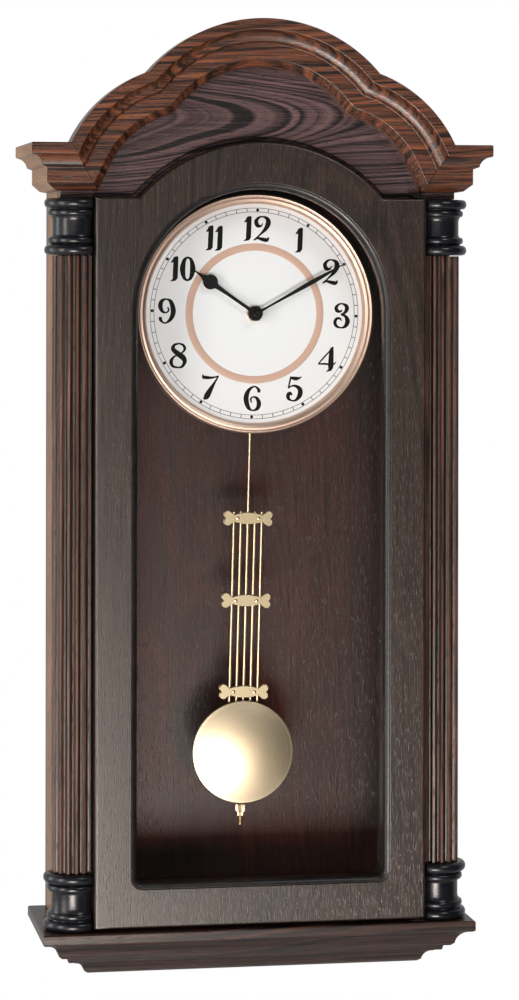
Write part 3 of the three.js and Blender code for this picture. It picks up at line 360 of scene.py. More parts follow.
def oak(name, dark, light, pore, grain, heart=(0.02, 0.11), slope=0.1, ring=420.0, figure=0.55,
        edge=(0.36, 0.64), rough=0.34, gloss=0.4, shade=None):
    """Stained open-pored oak. The grain runs along one axis, on rings round a heart behind the face.

    heart is the rings' centre across the board and behind it, slope leans the heart to the board,
    ring is rings per metre, figure is how strongly they show and edge how sharply they change.
    shade, if given, paints shade into the colour: it darkens by a 0 to 1 value.
    """
    nodes = Nodes(name, roughness=rough, specular_ior_level=gloss)
    across, behind, along = (nodes.axes(nodes.place)[axis] for axis in GRAINS[grain])

    def stretched(fine, coarse):
        """A place scaled by fine across the grain and by coarse along it."""
        return nodes.combine(nodes.math("MULTIPLY", across, fine), nodes.math("MULTIPLY", behind, fine),
                             nodes.math("MULTIPLY", along, coarse))

    warp = nodes.noise(stretched(9.0, 3.0))
    wave = nodes.math("MULTIPLY_ADD", warp, 0.03, -0.015)
    radius = nodes.vector("LENGTH", nodes.combine(nodes.math("SUBTRACT", across, heart[0]),
                                                  nodes.math("SUBTRACT", behind, heart[1]), 0.0))
    radius = nodes.math("ADD", nodes.math("MULTIPLY_ADD", along, slope, radius), wave)
    rings = nodes.noise_along(radius, ring, 3.0)
    fibre = nodes.noise(stretched(1000.0, 14.0), 1.0, 4.0, 0.6)
    tone = nodes.math("ADD", nodes.math("MULTIPLY", rings, figure), nodes.math("MULTIPLY", fibre, 1 - figure))
    colour = nodes.mix(nodes.spread(tone, *edge), dark, light)
    pores = nodes.spread(nodes.noise(stretched(1500.0, 130.0), 1.0, 1.0), 0.58, 0.7)
    pores = nodes.math("MULTIPLY", pores, nodes.spread(rings, 0.35, 0.6, 0.35, 1.0))
    colour = nodes.mix(pores, colour, pore)
    blotch = nodes.spread(nodes.noise(nodes.place, 14.0, 3.0), 0.3, 0.7, 0.75, 1.2)
    colour = nodes.mix(1.0, colour, nodes.combine(blotch, blotch, blotch), "MULTIPLY")
    # Painted shade, when a shade function is given: the colour is darkened by its value.
    if shade:
        dim = shade(nodes)
        colour = nodes.mix(1.0, colour, nodes.combine(dim, dim, dim), "MULTIPLY")
    nodes.colour(colour)
    nodes.roughness(nodes.spread(nodes.math("ADD", pores, fibre), 0.3, 1.4, rough - 0.04, rough + 0.16))
    nodes.bump(nodes.math("SUBTRACT", nodes.math("MULTIPLY", fibre, 0.35), pores), 0.00007)
    return nodes.material


def flute_shade(nodes):
    """Painted shade: the colour darkens towards the bottom of the flutes, where shade falls."""
    x, y, _ = nodes.axes(nodes.place)
    centred = nodes.combine(nodes.math("SUBTRACT", nodes.math("ABSOLUTE", x), COLUMN_X * MM),
                            nodes.math("ADD", y, COLUMN_DEPTH * MM), 0.0)
    radius = nodes.vector("LENGTH", centred)
    return nodes.spread(radius, (SHAFT_R - FLUTE_DEPTH) * MM, (SHAFT_R - 0.2) * MM, 0.1, 1.0)


# ---- other materials
def satin_metal(name, colour, rough, centre=None, grain=900.0, strength=0.00002):
    """Metal with fine tooling lines: rings round a centre on an axis square to the wall, or a plain grain."""
    nodes = Nodes(name, metallic=1.0, roughness=rough)
    if centre:
        lines = nodes.noise_along(nodes.radius_from(*centre), grain * 2, 3.0)
    else:
        lines = nodes.noise(nodes.place, grain, 3.0)
    cloud = nodes.noise(nodes.place, 60.0, 2.0)
    darker = tuple(c * 0.82 for c in colour)
    nodes.colour(nodes.mix(nodes.math("MULTIPLY_ADD", lines, 0.5, nodes.math("MULTIPLY", cloud, 0.5)),
                           darker, colour))
    nodes.roughness(nodes.spread(lines, 0.2, 0.8, rough - 0.05, rough + 0.08))
    nodes.bump(lines, strength)
    return nodes.material


def lacquer(name, colour, rough=0.22, gloss=0.35):
    nodes = Nodes(name, specular_ior_level=gloss)
    cloud = nodes.noise(nodes.place, 90.0, 3.0)
    lighter = tuple(c * 2.2 + 0.002 for c in colour)
    nodes.colour(nodes.mix(cloud, colour, lighter))
    nodes.roughness(nodes.spread(cloud, 0.3, 0.7, rough, rough + 0.1))
    nodes.bump(nodes.noise(nodes.place, 240.0, 2.0), 0.00008)
    return nodes.material


def moulded(name, colour, rough=0.5, spark=900.0):
    """Moulded plastic or paint with a fine sparkle texture."""
    nodes = Nodes(name)
    grit = nodes.noise(nodes.place, spark, 2.0)
    nodes.colour(nodes.mix(grit, tuple(c * 0.88 for c in colour), colour))
    nodes.roughness(nodes.spread(grit, 0.3, 0.7, rough - 0.06, rough + 0.08))
    nodes.bump(grit, 0.00002)
    return nodes.material


def dial_paint():
    """Matt white paint on the dial, a little warmer towards its rim."""
    nodes = Nodes("dial_paint")
    rim = nodes.spread(nodes.radius_from(0.0, HUB_Z), 0.03, DIAL_R * MM)
    nodes.colour(nodes.mix(rim, (0.86, 0.87, 0.87), (0.84, 0.82, 0.81)))
    tooth = nodes.noise(nodes.place, 1600.0, 2.0)
    nodes.roughness(nodes.spread(tooth, 0.3, 0.7, 0.5, 0.65))
    nodes.bump(tooth, 0.000006)
    return nodes.material


def clear_glass():
    """Float glass, nearly unseen from the front. A faint green haze marks its surface."""
    nodes = Nodes("clear_glass", alpha=0.05, specular_ior_level=0.5)
    haze = nodes.noise(nodes.place, 30.0, 3.0)
    nodes.colour(nodes.mix(haze, (0.01, 0.016, 0.014), (0.03, 0.04, 0.036)))
    nodes.roughness(nodes.spread(haze, 0.3, 0.7, 0.01, 0.04))
    return nodes.material


def battery_skin():
    """A cell's sleeve: dark with a coppery band at one end and no print."""
    nodes = Nodes("battery_skin", metallic=0.7, roughness=0.3)
    band = nodes.spread(nodes.axes(nodes.place)[0], 0.009, 0.0095)
    nodes.colour(nodes.mix(band, (0.02, 0.02, 0.022), (0.55, 0.27, 0.12)))
    nodes.roughness(nodes.spread(nodes.noise(nodes.place, 400.0, 2.0), 0.3, 0.7, 0.26, 0.4))
    return nodes.material


DOOR_OAK = oak("door_oak", (0.006, 0.003, 0.0015), (0.033, 0.015, 0.008), (0.003, 0.0015, 0.001), "z",
               heart=(0.05, 0.14), slope=0.05, ring=500.0, figure=0.45, gloss=0.6)
MOULDING_OAK = oak("moulding_oak", (0.012, 0.005, 0.003), (0.24, 0.07, 0.027), (0.004, 0.002, 0.001), "x",
                   heart=(0.2, 0.03), slope=0.03, ring=380.0, figure=0.45, edge=(0.42, 0.68), gloss=0.5)
# Painted shade: a darker, less glossy copy of the moulding oak for the base boards, standing in for the shade on
# their downward faces.
SHADED_BASE_OAK = oak("base_oak_painted_shade", (0.006, 0.003, 0.0025), (0.07, 0.025, 0.016), (0.003, 0.0015, 0.001), "x",
               heart=(0.2, 0.03), slope=0.03, ring=380.0, figure=0.45, edge=(0.42, 0.68))
PEDIMENT_OAK = oak("pediment_oak", (0.008, 0.005, 0.006), (0.13, 0.07, 0.07), (0.002, 0.001, 0.001), "x",
                   heart=(0.03, -0.055), slope=0.06, ring=900.0, figure=0.6, edge=(0.4, 0.62))
BACK_OAK = oak("back_oak", (0.02, 0.0035, 0.002), (0.075, 0.012, 0.006), (0.004, 0.0015, 0.001), "z",
               heart=(-0.06, 0.16), slope=0.04, ring=450.0, figure=0.35, gloss=0.5)
SIDE_OAK = oak("side_oak", (0.15, 0.075, 0.032), (0.29, 0.15, 0.068), (0.08, 0.04, 0.02), "z",
               heart=(0.0, 0.3), slope=0.03, ring=300.0, figure=0.4, gloss=0.06)
RETURN_OAK = oak("return_oak", (0.16, 0.08, 0.034), (0.29, 0.15, 0.068), (0.09, 0.045, 0.02), "y",
                 heart=(0.1, 0.2), slope=0.03, ring=300.0, figure=0.4, gloss=0.06)
# The shaft's colour carries painted shade, darker towards the bottom of each flute.
SHAFT_OAK = oak("shaft_oak", (0.018, 0.007, 0.004), (0.17, 0.075, 0.048), (0.004, 0.002, 0.001), "z",
                heart=(0.1, 0.05), slope=0.03, ring=520.0, figure=0.45, shade=flute_shade)
FRAME_OAK = oak("frame_oak", (0.008, 0.004, 0.003), (0.03, 0.014, 0.009), (0.003, 0.002, 0.0015), "z")
BLACK_LACQUER = lacquer("black_lacquer", (0.004, 0.004, 0.006))
BEAD_LACQUER = lacquer("bead_lacquer", (0.006, 0.005, 0.005), 0.3)
BEZEL_METAL = satin_metal("bezel_metal", (0.7, 0.52, 0.42), 0.42, (0.0, HUB_Z))
BOB_BRASS = satin_metal("bob_brass", (0.88, 0.74, 0.51), 0.38, (BOB_CENTRE.x, BOB_CENTRE.z))
ROD_BRASS = satin_metal("rod_brass", (0.8, 0.64, 0.43), 0.34)
PLATE_BRASS = satin_metal("plate_brass", (0.5, 0.43, 0.28), 0.4)
RIVET_BRASS = satin_metal("rivet_brass", (0.8, 0.5, 0.33), 0.28)
STEEL = satin_metal("steel", (0.55, 0.55, 0.56), 0.35)
COPPER = satin_metal("copper", (0.72, 0.4, 0.2), 0.4)
DIAL_PAINT = dial_paint()
PRINT_BLACK = lacquer("print_black", (0.002, 0.002, 0.002), 0.5, 0.1)
PRINT_GREY = moulded("print_grey", (0.13, 0.13, 0.14), 0.6)
PRINT_ROSE = moulded("print_rose", (0.66, 0.42, 0.31), 0.5)
HAND_BLACK = lacquer("hand_black", (0.002, 0.002, 0.002), 0.4, 0.15)
BLACK_PLASTIC = moulded("black_plastic", (0.02, 0.02, 0.021))
WHITE_PLASTIC = moulded("white_plastic", (0.75, 0.75, 0.72))
CIRCUIT_GREEN = moulded("circuit_green", (0.01, 0.09, 0.03), 0.4)
GLASS = clear_glass()
BATTERY_SKIN = battery_skin()

SLOT_LOOKS = {
    "dark_oak": FRAME_OAK,
    "panel_oak": BACK_OAK,
    "side_oak": SIDE_OAK,
    "black_lacquer": BLACK_LACQUER,
    "glass": GLASS,
    "brass": ROD_BRASS,
    "champagne_metal": BEZEL_METAL,
    "steel": STEEL,
    "dial_white": DIAL_PAINT,
    "hand_black": HAND_BLACK,
    "black_plastic": BLACK_PLASTIC,
    "white_plastic": WHITE_PLASTIC,
    "copper": COPPER,
    "circuit_green": CIRCUIT_GREEN,
}
NODE_LOOKS = {"battery": BATTERY_SKIN, "top_board": MOULDING_OAK}
SOFT_NODES = {
    "back_panel": 0.6,
    "side_panel_left": 0.8,
    "side_panel_right": 0.8,
    "top_board": 0.5,
    "face_frame": 0.5,
    "hanger_plate": 0.25,
    "hinge_plate_top": 0.2,
    "hinge_plate_bottom": 0.2,
    "movement_rear_housing": 0.4,
    "movement_front_housing": 0.3,
    "circuit_board": 0.1,
    "glass_retainer": 0.2,
    "motor_stator": 0.1,
    "motor_coil": 0.3,
}


def dress_cad_nodes():
    """Gives every CAD node its slot's material, and softens the edges of the boxy ones."""
    for row in frame["record"]["subparts"]:
        node = frame["nodes"][row["node"]]
        look = NODE_LOOKS.get(row["node"], SLOT_LOOKS[row["material_slot"]])
        if not node.material_slots:
            node.data.materials.append(look)
        for held in node.material_slots:
            held.material = look
    for name, width in SOFT_NODES.items():
        node = frame["nodes"][name]
        weld = node.modifiers.new("weld", "WELD")
        weld.merge_threshold = WELD_REACH
        soften(node, width)


# ---- cornice and arch
JUNCTION_X = 84.0
JUNCTION_RISE = 51.0
LOBE_R = 99.0
CORNICE_H = 34.2
CORNICE_BACK = CORNICE_DEPTH - NECK_DEPTH - GAP
MOULDING_EASE = 0.9                  # radius of the mouldings' sharp corners
CORNICE_SECTION = [(0, 0.6), (0.6, 0), (8, 0), (8.7, 1.2), *arc(16.7, 0.3, 8.05, 174, 96, 12), (17.4, 12.2),
                   (28.4, 12.2), (33.4, 18), (CORNICE_H, 22.4)]


def arch_path():
    """The pediment's top edge from the right foot to the left one: a lobe, the crown and a lobe."""
    rise, run = JUNCTION_RISE, FOOT_X - JUNCTION_X
    chord = math.hypot(run, rise)
    to_centre = math.sqrt(LOBE_R ** 2 - (chord / 2) ** 2)
    cx = (FOOT_X + JUNCTION_X) / 2 - to_centre * rise / chord
    cz = rise / 2 - to_centre * run / chord
    start = math.degrees(math.atan2(-cz, FOOT_X - cx))
    end = math.degrees(math.atan2(rise - cz, JUNCTION_X - cx))
    lobe = arc(cx, cz, LOBE_R, start, end, 24)
    height = ARCH_RISE - rise
    r = (JUNCTION_X ** 2 + height ** 2) / (2 * height)
    start = math.degrees(math.acos(JUNCTION_X / r))
    crown = arc(0, ARCH_RISE - r, r, start, 180 - start, 64)
    return lobe + crown[1:-1] + [(-x, z) for x, z in reversed(lobe)]


def mitres(path):
    """One step inwards from each point of a path, long enough to hold a mitred corner."""
    def normal(a, b):
        length = math.hypot(b[0] - a[0], b[1] - a[1])
        return Vector((-(b[1] - a[1]) / length, (b[0] - a[0]) / length))

    out = []
    for i in range(1, len(path) - 1):
        before, after = normal(path[i - 1], path[i]), normal(path[i], path[i + 1])
        out.append((before + after) / (1 + before.dot(after)))
    return out


def cornice_line():
    """The arch's points with a straight run beyond each foot, and the mitre step at each arch point."""
    feet = arch_path()
    path = [(CORNICE_HALF, 0), *feet, (-CORNICE_HALF, 0)]
    return feet, mitres(path)


def cornice_profile():
    """The cornice's section, from its back edge over the moulded face to the back again."""
    return fillet([(0, CORNICE_BACK), *CORNICE_SECTION, (CORNICE_H, CORNICE_BACK)], MOULDING_EASE)


def make_cornice():
    feet, steps = cornice_line()
    profile = cornice_profile()

    def at(i, drop, inset, shift=0.0):
        (x, z), step = feet[i], steps[i]
        return (x + step[0] * drop + shift, -(CORNICE_DEPTH - inset), z + step[1] * drop + CORNICE_TOP)

    arch = skin([[at(i, drop, inset) for drop, inset in profile] for i in range(len(feet))])
    make_piece("arch_moulding_fine", [arch], MOULDING_OAK, "case", ["arch_moulding"])
    for side, sign, foot in (("left", -1, len(feet) - 1), ("right", 1, 0)):
        inner = [at(foot, drop, inset, sign * GAP) for drop, inset in profile]
        outer = [(sign * (CORNICE_HALF - inset - GAP / 2), -(CORNICE_DEPTH - inset), CORNICE_TOP - drop)
                 for drop, inset in profile]
        make_piece(f"cornice_front_{side}_fine", [skin([inner, outer])], MOULDING_OAK, "case",
                   [f"cornice_front_{side}"])
        make_return(side, sign)


def make_return(side, sign):
    """The cornice's return along the case side, from the mitred corner to the wall."""
    reach = CORNICE_HALF - CASE_HALF - GAP
    profile = [(0, reach), *cornice_profile()[1:-1], (CORNICE_H, reach)]
    profile = [(drop, min(inset, reach)) for drop, inset in profile]
    rings = []
    for front in (True, False):
        rings.append([(sign * (CORNICE_HALF - inset), -(CORNICE_DEPTH - inset - GAP / 2) if front else 0.0,
                       CORNICE_TOP - drop) for drop, inset in profile])
    make_piece(f"cornice_return_{side}_fine", [skin(rings)], RETURN_OAK, "case",
               [f"cornice_return_{side}"])


# ---- pediment panel
DOOR_ARCH_R = 118.6
PANEL_INSET = 2.0                    # the panel's top edge lies this far under the moulding's
PANEL_CUT_GAP = 4.0
PANEL_SHOULDER = CORNICE_TOP - 35.9
PANEL_STEP = 88.4                    # depth where the rear lip behind the shadow gap begins
STOP_W = 1.5                         # the lip's thin front edge reaches this far in behind the door
STOP_T = 0.4
STOP_RISE = 12                       # and starts this far up, clear of the door's swing


def make_pediment():
    """The board under the arch, cut out over the door in two steps: a shadow gap and a rear lip."""
    top = [(x + step[0] * PANEL_INSET, z + step[1] * PANEL_INSET + CORNICE_TOP)
           for (x, z), step in zip(*cornice_line())]
    r = DOOR_ARCH_R + PANEL_CUT_GAP
    centre = DOOR_ARCH_TOP - DOOR_ARCH_R
    start = math.degrees(math.asin((PANEL_SHOULDER - centre) / r))
    cut = [(COLUMN_FLAT_X, NECK_Z), (COLUMN_FLAT_X, PANEL_SHOULDER),
           *arc(0, centre, r, start, 180 - start, 72),
           (-COLUMN_FLAT_X, PANEL_SHOULDER), (-COLUMN_FLAT_X, NECK_Z)]
    side_top = CORNICE_TOP - PANEL_INSET
    outer = [(CASE_HALF, NECK_Z), (CASE_HALF, side_top), *top, (-CASE_HALF, side_top), (-CASE_HALF, NECK_Z)]
    lip = [(x, z) for x, z in door_outline(GAP) if z > NECK_Z]
    lip = [(DOOR_HALF + GAP, NECK_Z), *lip, (-DOOR_HALF - GAP, NECK_Z)]
    front = plate([*outer, *reversed(cut)], PANEL_STEP, NECK_DEPTH)
    rear = plate([*outer, *reversed(lip)], PANEL_BACK, PANEL_STEP)
    stop = [[(x, z) for x, z in door_outline(grow) if z > NECK_Z + STOP_RISE] for grow in (GAP + 1, -STOP_W)]
    stop = plate([*stop[0], *reversed(stop[1])], PANEL_STEP - STOP_T, PANEL_STEP)
    make_piece("pediment_panel_fine", [front, rear], PEDIMENT_OAK, "case", ["pediment_panel"],
               bevel=1.2)
    make_piece("pediment_stop_edge", [stop], PEDIMENT_OAK, "case")


# ---- base boards
UPPER_BASE = [(0, 0.8), (0.8, 0), (7, 0), (8, 1.6), *arc(19.6, 1.4, 11.4, 172, 98, 12), (20.2, 15.2)]
LOWER_BASE = [(20.5, 20), (21, 19.6), (24.4, 20.4), (25, 25), *arc(34.4, 24.6, 8.6, 174, 98, 10), (35.2, 36)]


def make_base_boards():
    for name, section in (("base_board_upper", UPPER_BASE), ("base_board_lower", LOWER_BASE)):
        rings = []
        for drop, inset in fillet(section, MOULDING_EASE):
            half, front, z = PLINTH_HALF - inset, -(PLINTH_DEPTH - inset), PLINTH_TOP - drop
            rings.append([(-half, 0, z), (half, 0, z), (half, front, z), (-half, front, z)])
        # The boards take the darker copy of the moulding oak, as painted shade.
        make_piece(f"{name}_fine", [skin(rings)], SHADED_BASE_OAK, "case", [name])


# ---- columns
FLUTES = 16
POINTS_PER_FLUTE = 16
TURNED_H = 41.0
RING_R = 21.5
SMALL_RING_R = 19.0


def bead(r, neck, top, height):
    """Half-round ring of a turned piece, as (radius, drop) points."""
    return [(neck + (r - neck) * abs(x) ** 0.7, top + height * (1 - z) / 2)
            for x, z in arc(0, 0, 1, 90, -90, 12)]


TURNED_SECTION = [
    (0, 0), *bead(RING_R, 17.5, 0, 7), *bead(SMALL_RING_R, 17, 8, 4.6), (16.2, 14),
    (SHAFT_R - 0.3, 16), (SHAFT_R - 0.3, 26),
    *bead(SMALL_RING_R, 16.6, 27.6, 5), *bead(RING_R, 17, 33.4, 7.4), (0, TURNED_H - 0.2),
]


def trimmed(solid, sign):
    """Cuts a column piece flat beside the door and against the case."""
    def clamp(x, y, z):
        x = max(x, COLUMN_FLAT_X) if sign > 0 else min(x, -COLUMN_FLAT_X)
        return (x, min(y, -COLUMN_FLAT_DEPTH), z)

    return moved(solid, clamp)


def fluted_section():
    """Outline of the shaft: round ridges between hollow flutes."""
    points = []
    for i in range(FLUTES * POINTS_PER_FLUTE):
        phase = (i % POINTS_PER_FLUTE) / POINTS_PER_FLUTE
        groove = max(0.0, math.sin((phase - 0.25) / 0.75 * math.pi))
        r = SHAFT_R - FLUTE_DEPTH * groove ** 0.6
        angle = 2 * math.pi * i / (FLUTES * POINTS_PER_FLUTE)
        points.append((r * math.cos(angle), r * math.sin(angle)))
    return points


def make_columns():
    for side, sign in (("left", -1), ("right", 1)):
        x = sign * COLUMN_X
        for name, upward in ((f"capital_{side}", False), (f"column_base_{side}", True)):
            top, bottom = high(name).z, low(name).z
            profile = [(r, bottom + drop if upward else top - drop) for r, drop in TURNED_SECTION]
            solid = trimmed(turned_up(profile, 96, x, COLUMN_DEPTH), sign)
            make_piece(f"{name}_fine", [solid], BLACK_LACQUER, "case", [name])
        name = f"column_shaft_{side}"
        ends = [[(x + u, v - COLUMN_DEPTH, z) for u, v in fluted_section()]
                for z in (low(name).z, high(name).z)]
        make_piece(f"{name}_fine", [trimmed(skin(ends), sign)], SHAFT_OAK, "case", [name])


# ---- door
DOOR_SHOULDER = NECK_Z + GAP
OPENING_CORNER_R = 4.0
BEAD_W = 4.4
BEAD_DROP = 1.0                      # step from the door's face down to the bead
BEAD_REACH = 4.2                     # width and fall of the bead's rounding
REBATE_W = 6.0
DOOR_ROUND = 2.0


def door_outline(grow):
    """The door's outline, with as many points as opening_outline."""
    half, bottom, shoulder = DOOR_HALF + grow, DOOR_BOTTOM - grow, DOOR_SHOULDER + grow
    r, centre = DOOR_ARCH_R + grow, DOOR_ARCH_TOP - DOOR_ARCH_R
    start = math.degrees(math.asin((shoulder - centre) / r))
    foot = r * math.cos(math.radians(start))
    rail = [(half * i / 8, bottom) for i in range(8)]
    stile = [(half, bottom + (shoulder - bottom) * i / 12) for i in range(12)]
    shelf = [(half + (foot - half) * i / 8, shoulder) for i in range(8)]
    return mirrored(rail + stile + shelf + arc(0, centre, r, start, 90, 48))


def opening_outline(grow):
    half, bottom = OPENING_HALF + grow, OPENING_BOTTOM - grow
    r = OPENING_CORNER_R + grow
    rail = [(0, bottom), ((half - r) / 2, bottom)]
    corner = arc(half - r, bottom + r, r, 270, 360, 6)
    stile = [(half, bottom + r + (HUB_Z - bottom - r) * i / 18) for i in range(1, 18)]
    return mirrored(rail + corner + stile + arc(0, HUB_Z, half, 0, 90, 50))


def swept(outline, section):
    """Rings of an outline at each (growth, depth) point of a section."""
    return [[(x, -depth, z) for x, z in outline(grow)] for grow, depth in section]


def make_door():
    """The frame with softened edges, and the polished bead that runs round its opening."""
    wall = GLASS_FRONT + GAP
    opening = [(REBATE_W, DOOR_BACK), (REBATE_W, wall), (BEAD_W, wall), (BEAD_W, DOOR_FRONT - 0.5),
               (BEAD_W + 0.15, DOOR_FRONT - 0.15), (BEAD_W + 0.5, DOOR_FRONT)]
    edge = [(-DOOR_ROUND * (1 - math.sin(t)), DOOR_FRONT - DOOR_ROUND * (1 - math.cos(t)))
            for t in (math.radians(15 * i) for i in range(7))]
    rings = swept(opening_outline, opening) + swept(door_outline, [*edge, (0, DOOR_BACK)])
    make_piece("door_frame_fine", [skin(rings, closed=True)], DOOR_OAK, "door", ["door_frame"])
    front = DOOR_FRONT - BEAD_DROP
    bead = [(BEAD_W, wall), (0, wall)]
    bead += [(BEAD_REACH * (1 - math.sin(t)), front - BEAD_REACH * (1 - math.cos(t)))
             for t in (math.radians(90 - 9 * i) for i in range(11))]
    bead += [(BEAD_W, front)]
    roll = skin(swept(opening_outline, bead), closed=True)
    make_piece("door_bead", [roll], BEAD_LACQUER, "door")


# ---- dial
PRINT_T = 0.06
TRACK_INNER = 74.0
TRACK_OUTER = 76.8
TRACK_LINE = 0.42
ROSE_RING = (45.8, 51.2)
NUMERAL_OUTER_R = 71.2               # the numerals' outer ends touch this circle
NUMERAL_H = 18.2
NUMERAL_WEIGHT = 1.24
DIAL_TURN = math.radians(1.6)        # the dial sits turned a little clockwise in its frame
FIXING_NUT_R = 4.5
HOUR_DOT_R = 1.15
TICK_W = 0.6
ROSE_DOME = 0.35                     # height of the ring's rounding
# The bezel's face from its outer rim inwards, as (inset, drop): a thin rim, a flat band, an inner edge.
BEZEL_FACE = [(0, 2.4), (0.5, 0.8), (1.3, 0), (2.1, 0.4), (2.5, 0.9), (4.2, 0.7), (6.0, 1.6), (6.6, 2.4)]


def flat_ring(r0, r1, depth0, depth1):
    return ring_out([(r0, depth0), (r1, depth0), (r1, depth1), (r0, depth1)], ROUND_STEPS, 0, HUB_Z)


def make_bezel():
    bore, r = DIAL_R + GAP, BEZEL_R
    profile = [(bore, DIAL_BACK), (bore, BEZEL_BACK), (r - 1.2, BEZEL_BACK), (r, BEZEL_BACK + 1.5),
               *((r - inset, BEZEL_FRONT - drop) for inset, drop in BEZEL_FACE),
               (r - 7.6, DIAL_FRONT + GAP), (bore, DIAL_FRONT + GAP)]
    rounded = fillet([*profile, profile[0]], 0.6)[1:-1]
    ring = ring_out([profile[0], *rounded], ROUND_STEPS, 0, HUB_Z)
    make_piece("dial_bezel_fine", [ring], BEZEL_METAL, "case", ["dial_bezel"])


def make_dial_plate():
    disc = flat_ring(FIXING_NUT_R, DIAL_R, DIAL_BACK, DIAL_FRONT)
    make_piece("dial_plate_fine", [disc], DIAL_PAINT, "case", ["dial_plate"], bevel=0.15)


def make_minute_track():
    """Two thin circles with a tick for each minute between them, and a dot for each hour."""
    front = DIAL_FRONT + PRINT_T
    lines = [flat_ring(r, r + TRACK_LINE, DIAL_FRONT, front) for r in (TRACK_INNER, TRACK_OUTER)]
    dot = [(0, DIAL_FRONT), (HOUR_DOT_R, DIAL_FRONT), (HOUR_DOT_R, front + 0.02), (0, front + 0.02)]
    dots = []
    for minute in range(60):
        turn = math.radians(6 * minute) + DIAL_TURN
        ux, uz = math.sin(turn), math.cos(turn)
        if minute % 5 == 0:
            r = (TRACK_INNER + TRACK_OUTER + TRACK_LINE) / 2
            dots.append(turned_out(dot, 20, r * ux, HUB_Z + r * uz))
        else:
            ends = [(r * ux, HUB_Z + r * uz, TICK_W) for r in (TRACK_INNER + TRACK_LINE, TRACK_OUTER)]
            lines.append(stroke(ends, DIAL_FRONT, front, 1))
    make_piece("dial_minute_track", lines, PRINT_GREY, "case")
    make_piece("dial_hour_dots", dots, PRINT_BLACK, "case")


def make_rose_ring():
    inner, outer = ROSE_RING
    middle, half = (inner + outer) / 2, (outer - inner) / 2
    dome = [(middle + half * math.cos(math.radians(t)), DIAL_FRONT + ROSE_DOME * math.sin(math.radians(t)))
            for t in range(0, 181, 15)]
    band = ring_out(dome, ROUND_STEPS, 0, HUB_Z)
    make_piece("dial_rose_ring", [band], PRINT_ROSE, "case")


ZERO_LEFT = [(0.33, 0.975, 0.05), (0.17, 0.86, 0.11), (0.095, 0.5, 0.18), (0.17, 0.14, 0.11),
             (0.33, 0.025, 0.05)]
SIX = [(0.60, 0.74, 0.10), (0.59, 0.86, 0.10), (0.42, 0.98, 0.05), (0.19, 0.82, 0.12), (0.09, 0.5, 0.17),
       (0.19, 0.14, 0.13), (0.37, 0.02, 0.05), (0.56, 0.10, 0.12), (0.62, 0.31, 0.15), (0.53, 0.51, 0.10),
       (0.38, 0.56, 0.05), (0.28, 0.47, 0.06), (0.32, 0.33, 0.04)]
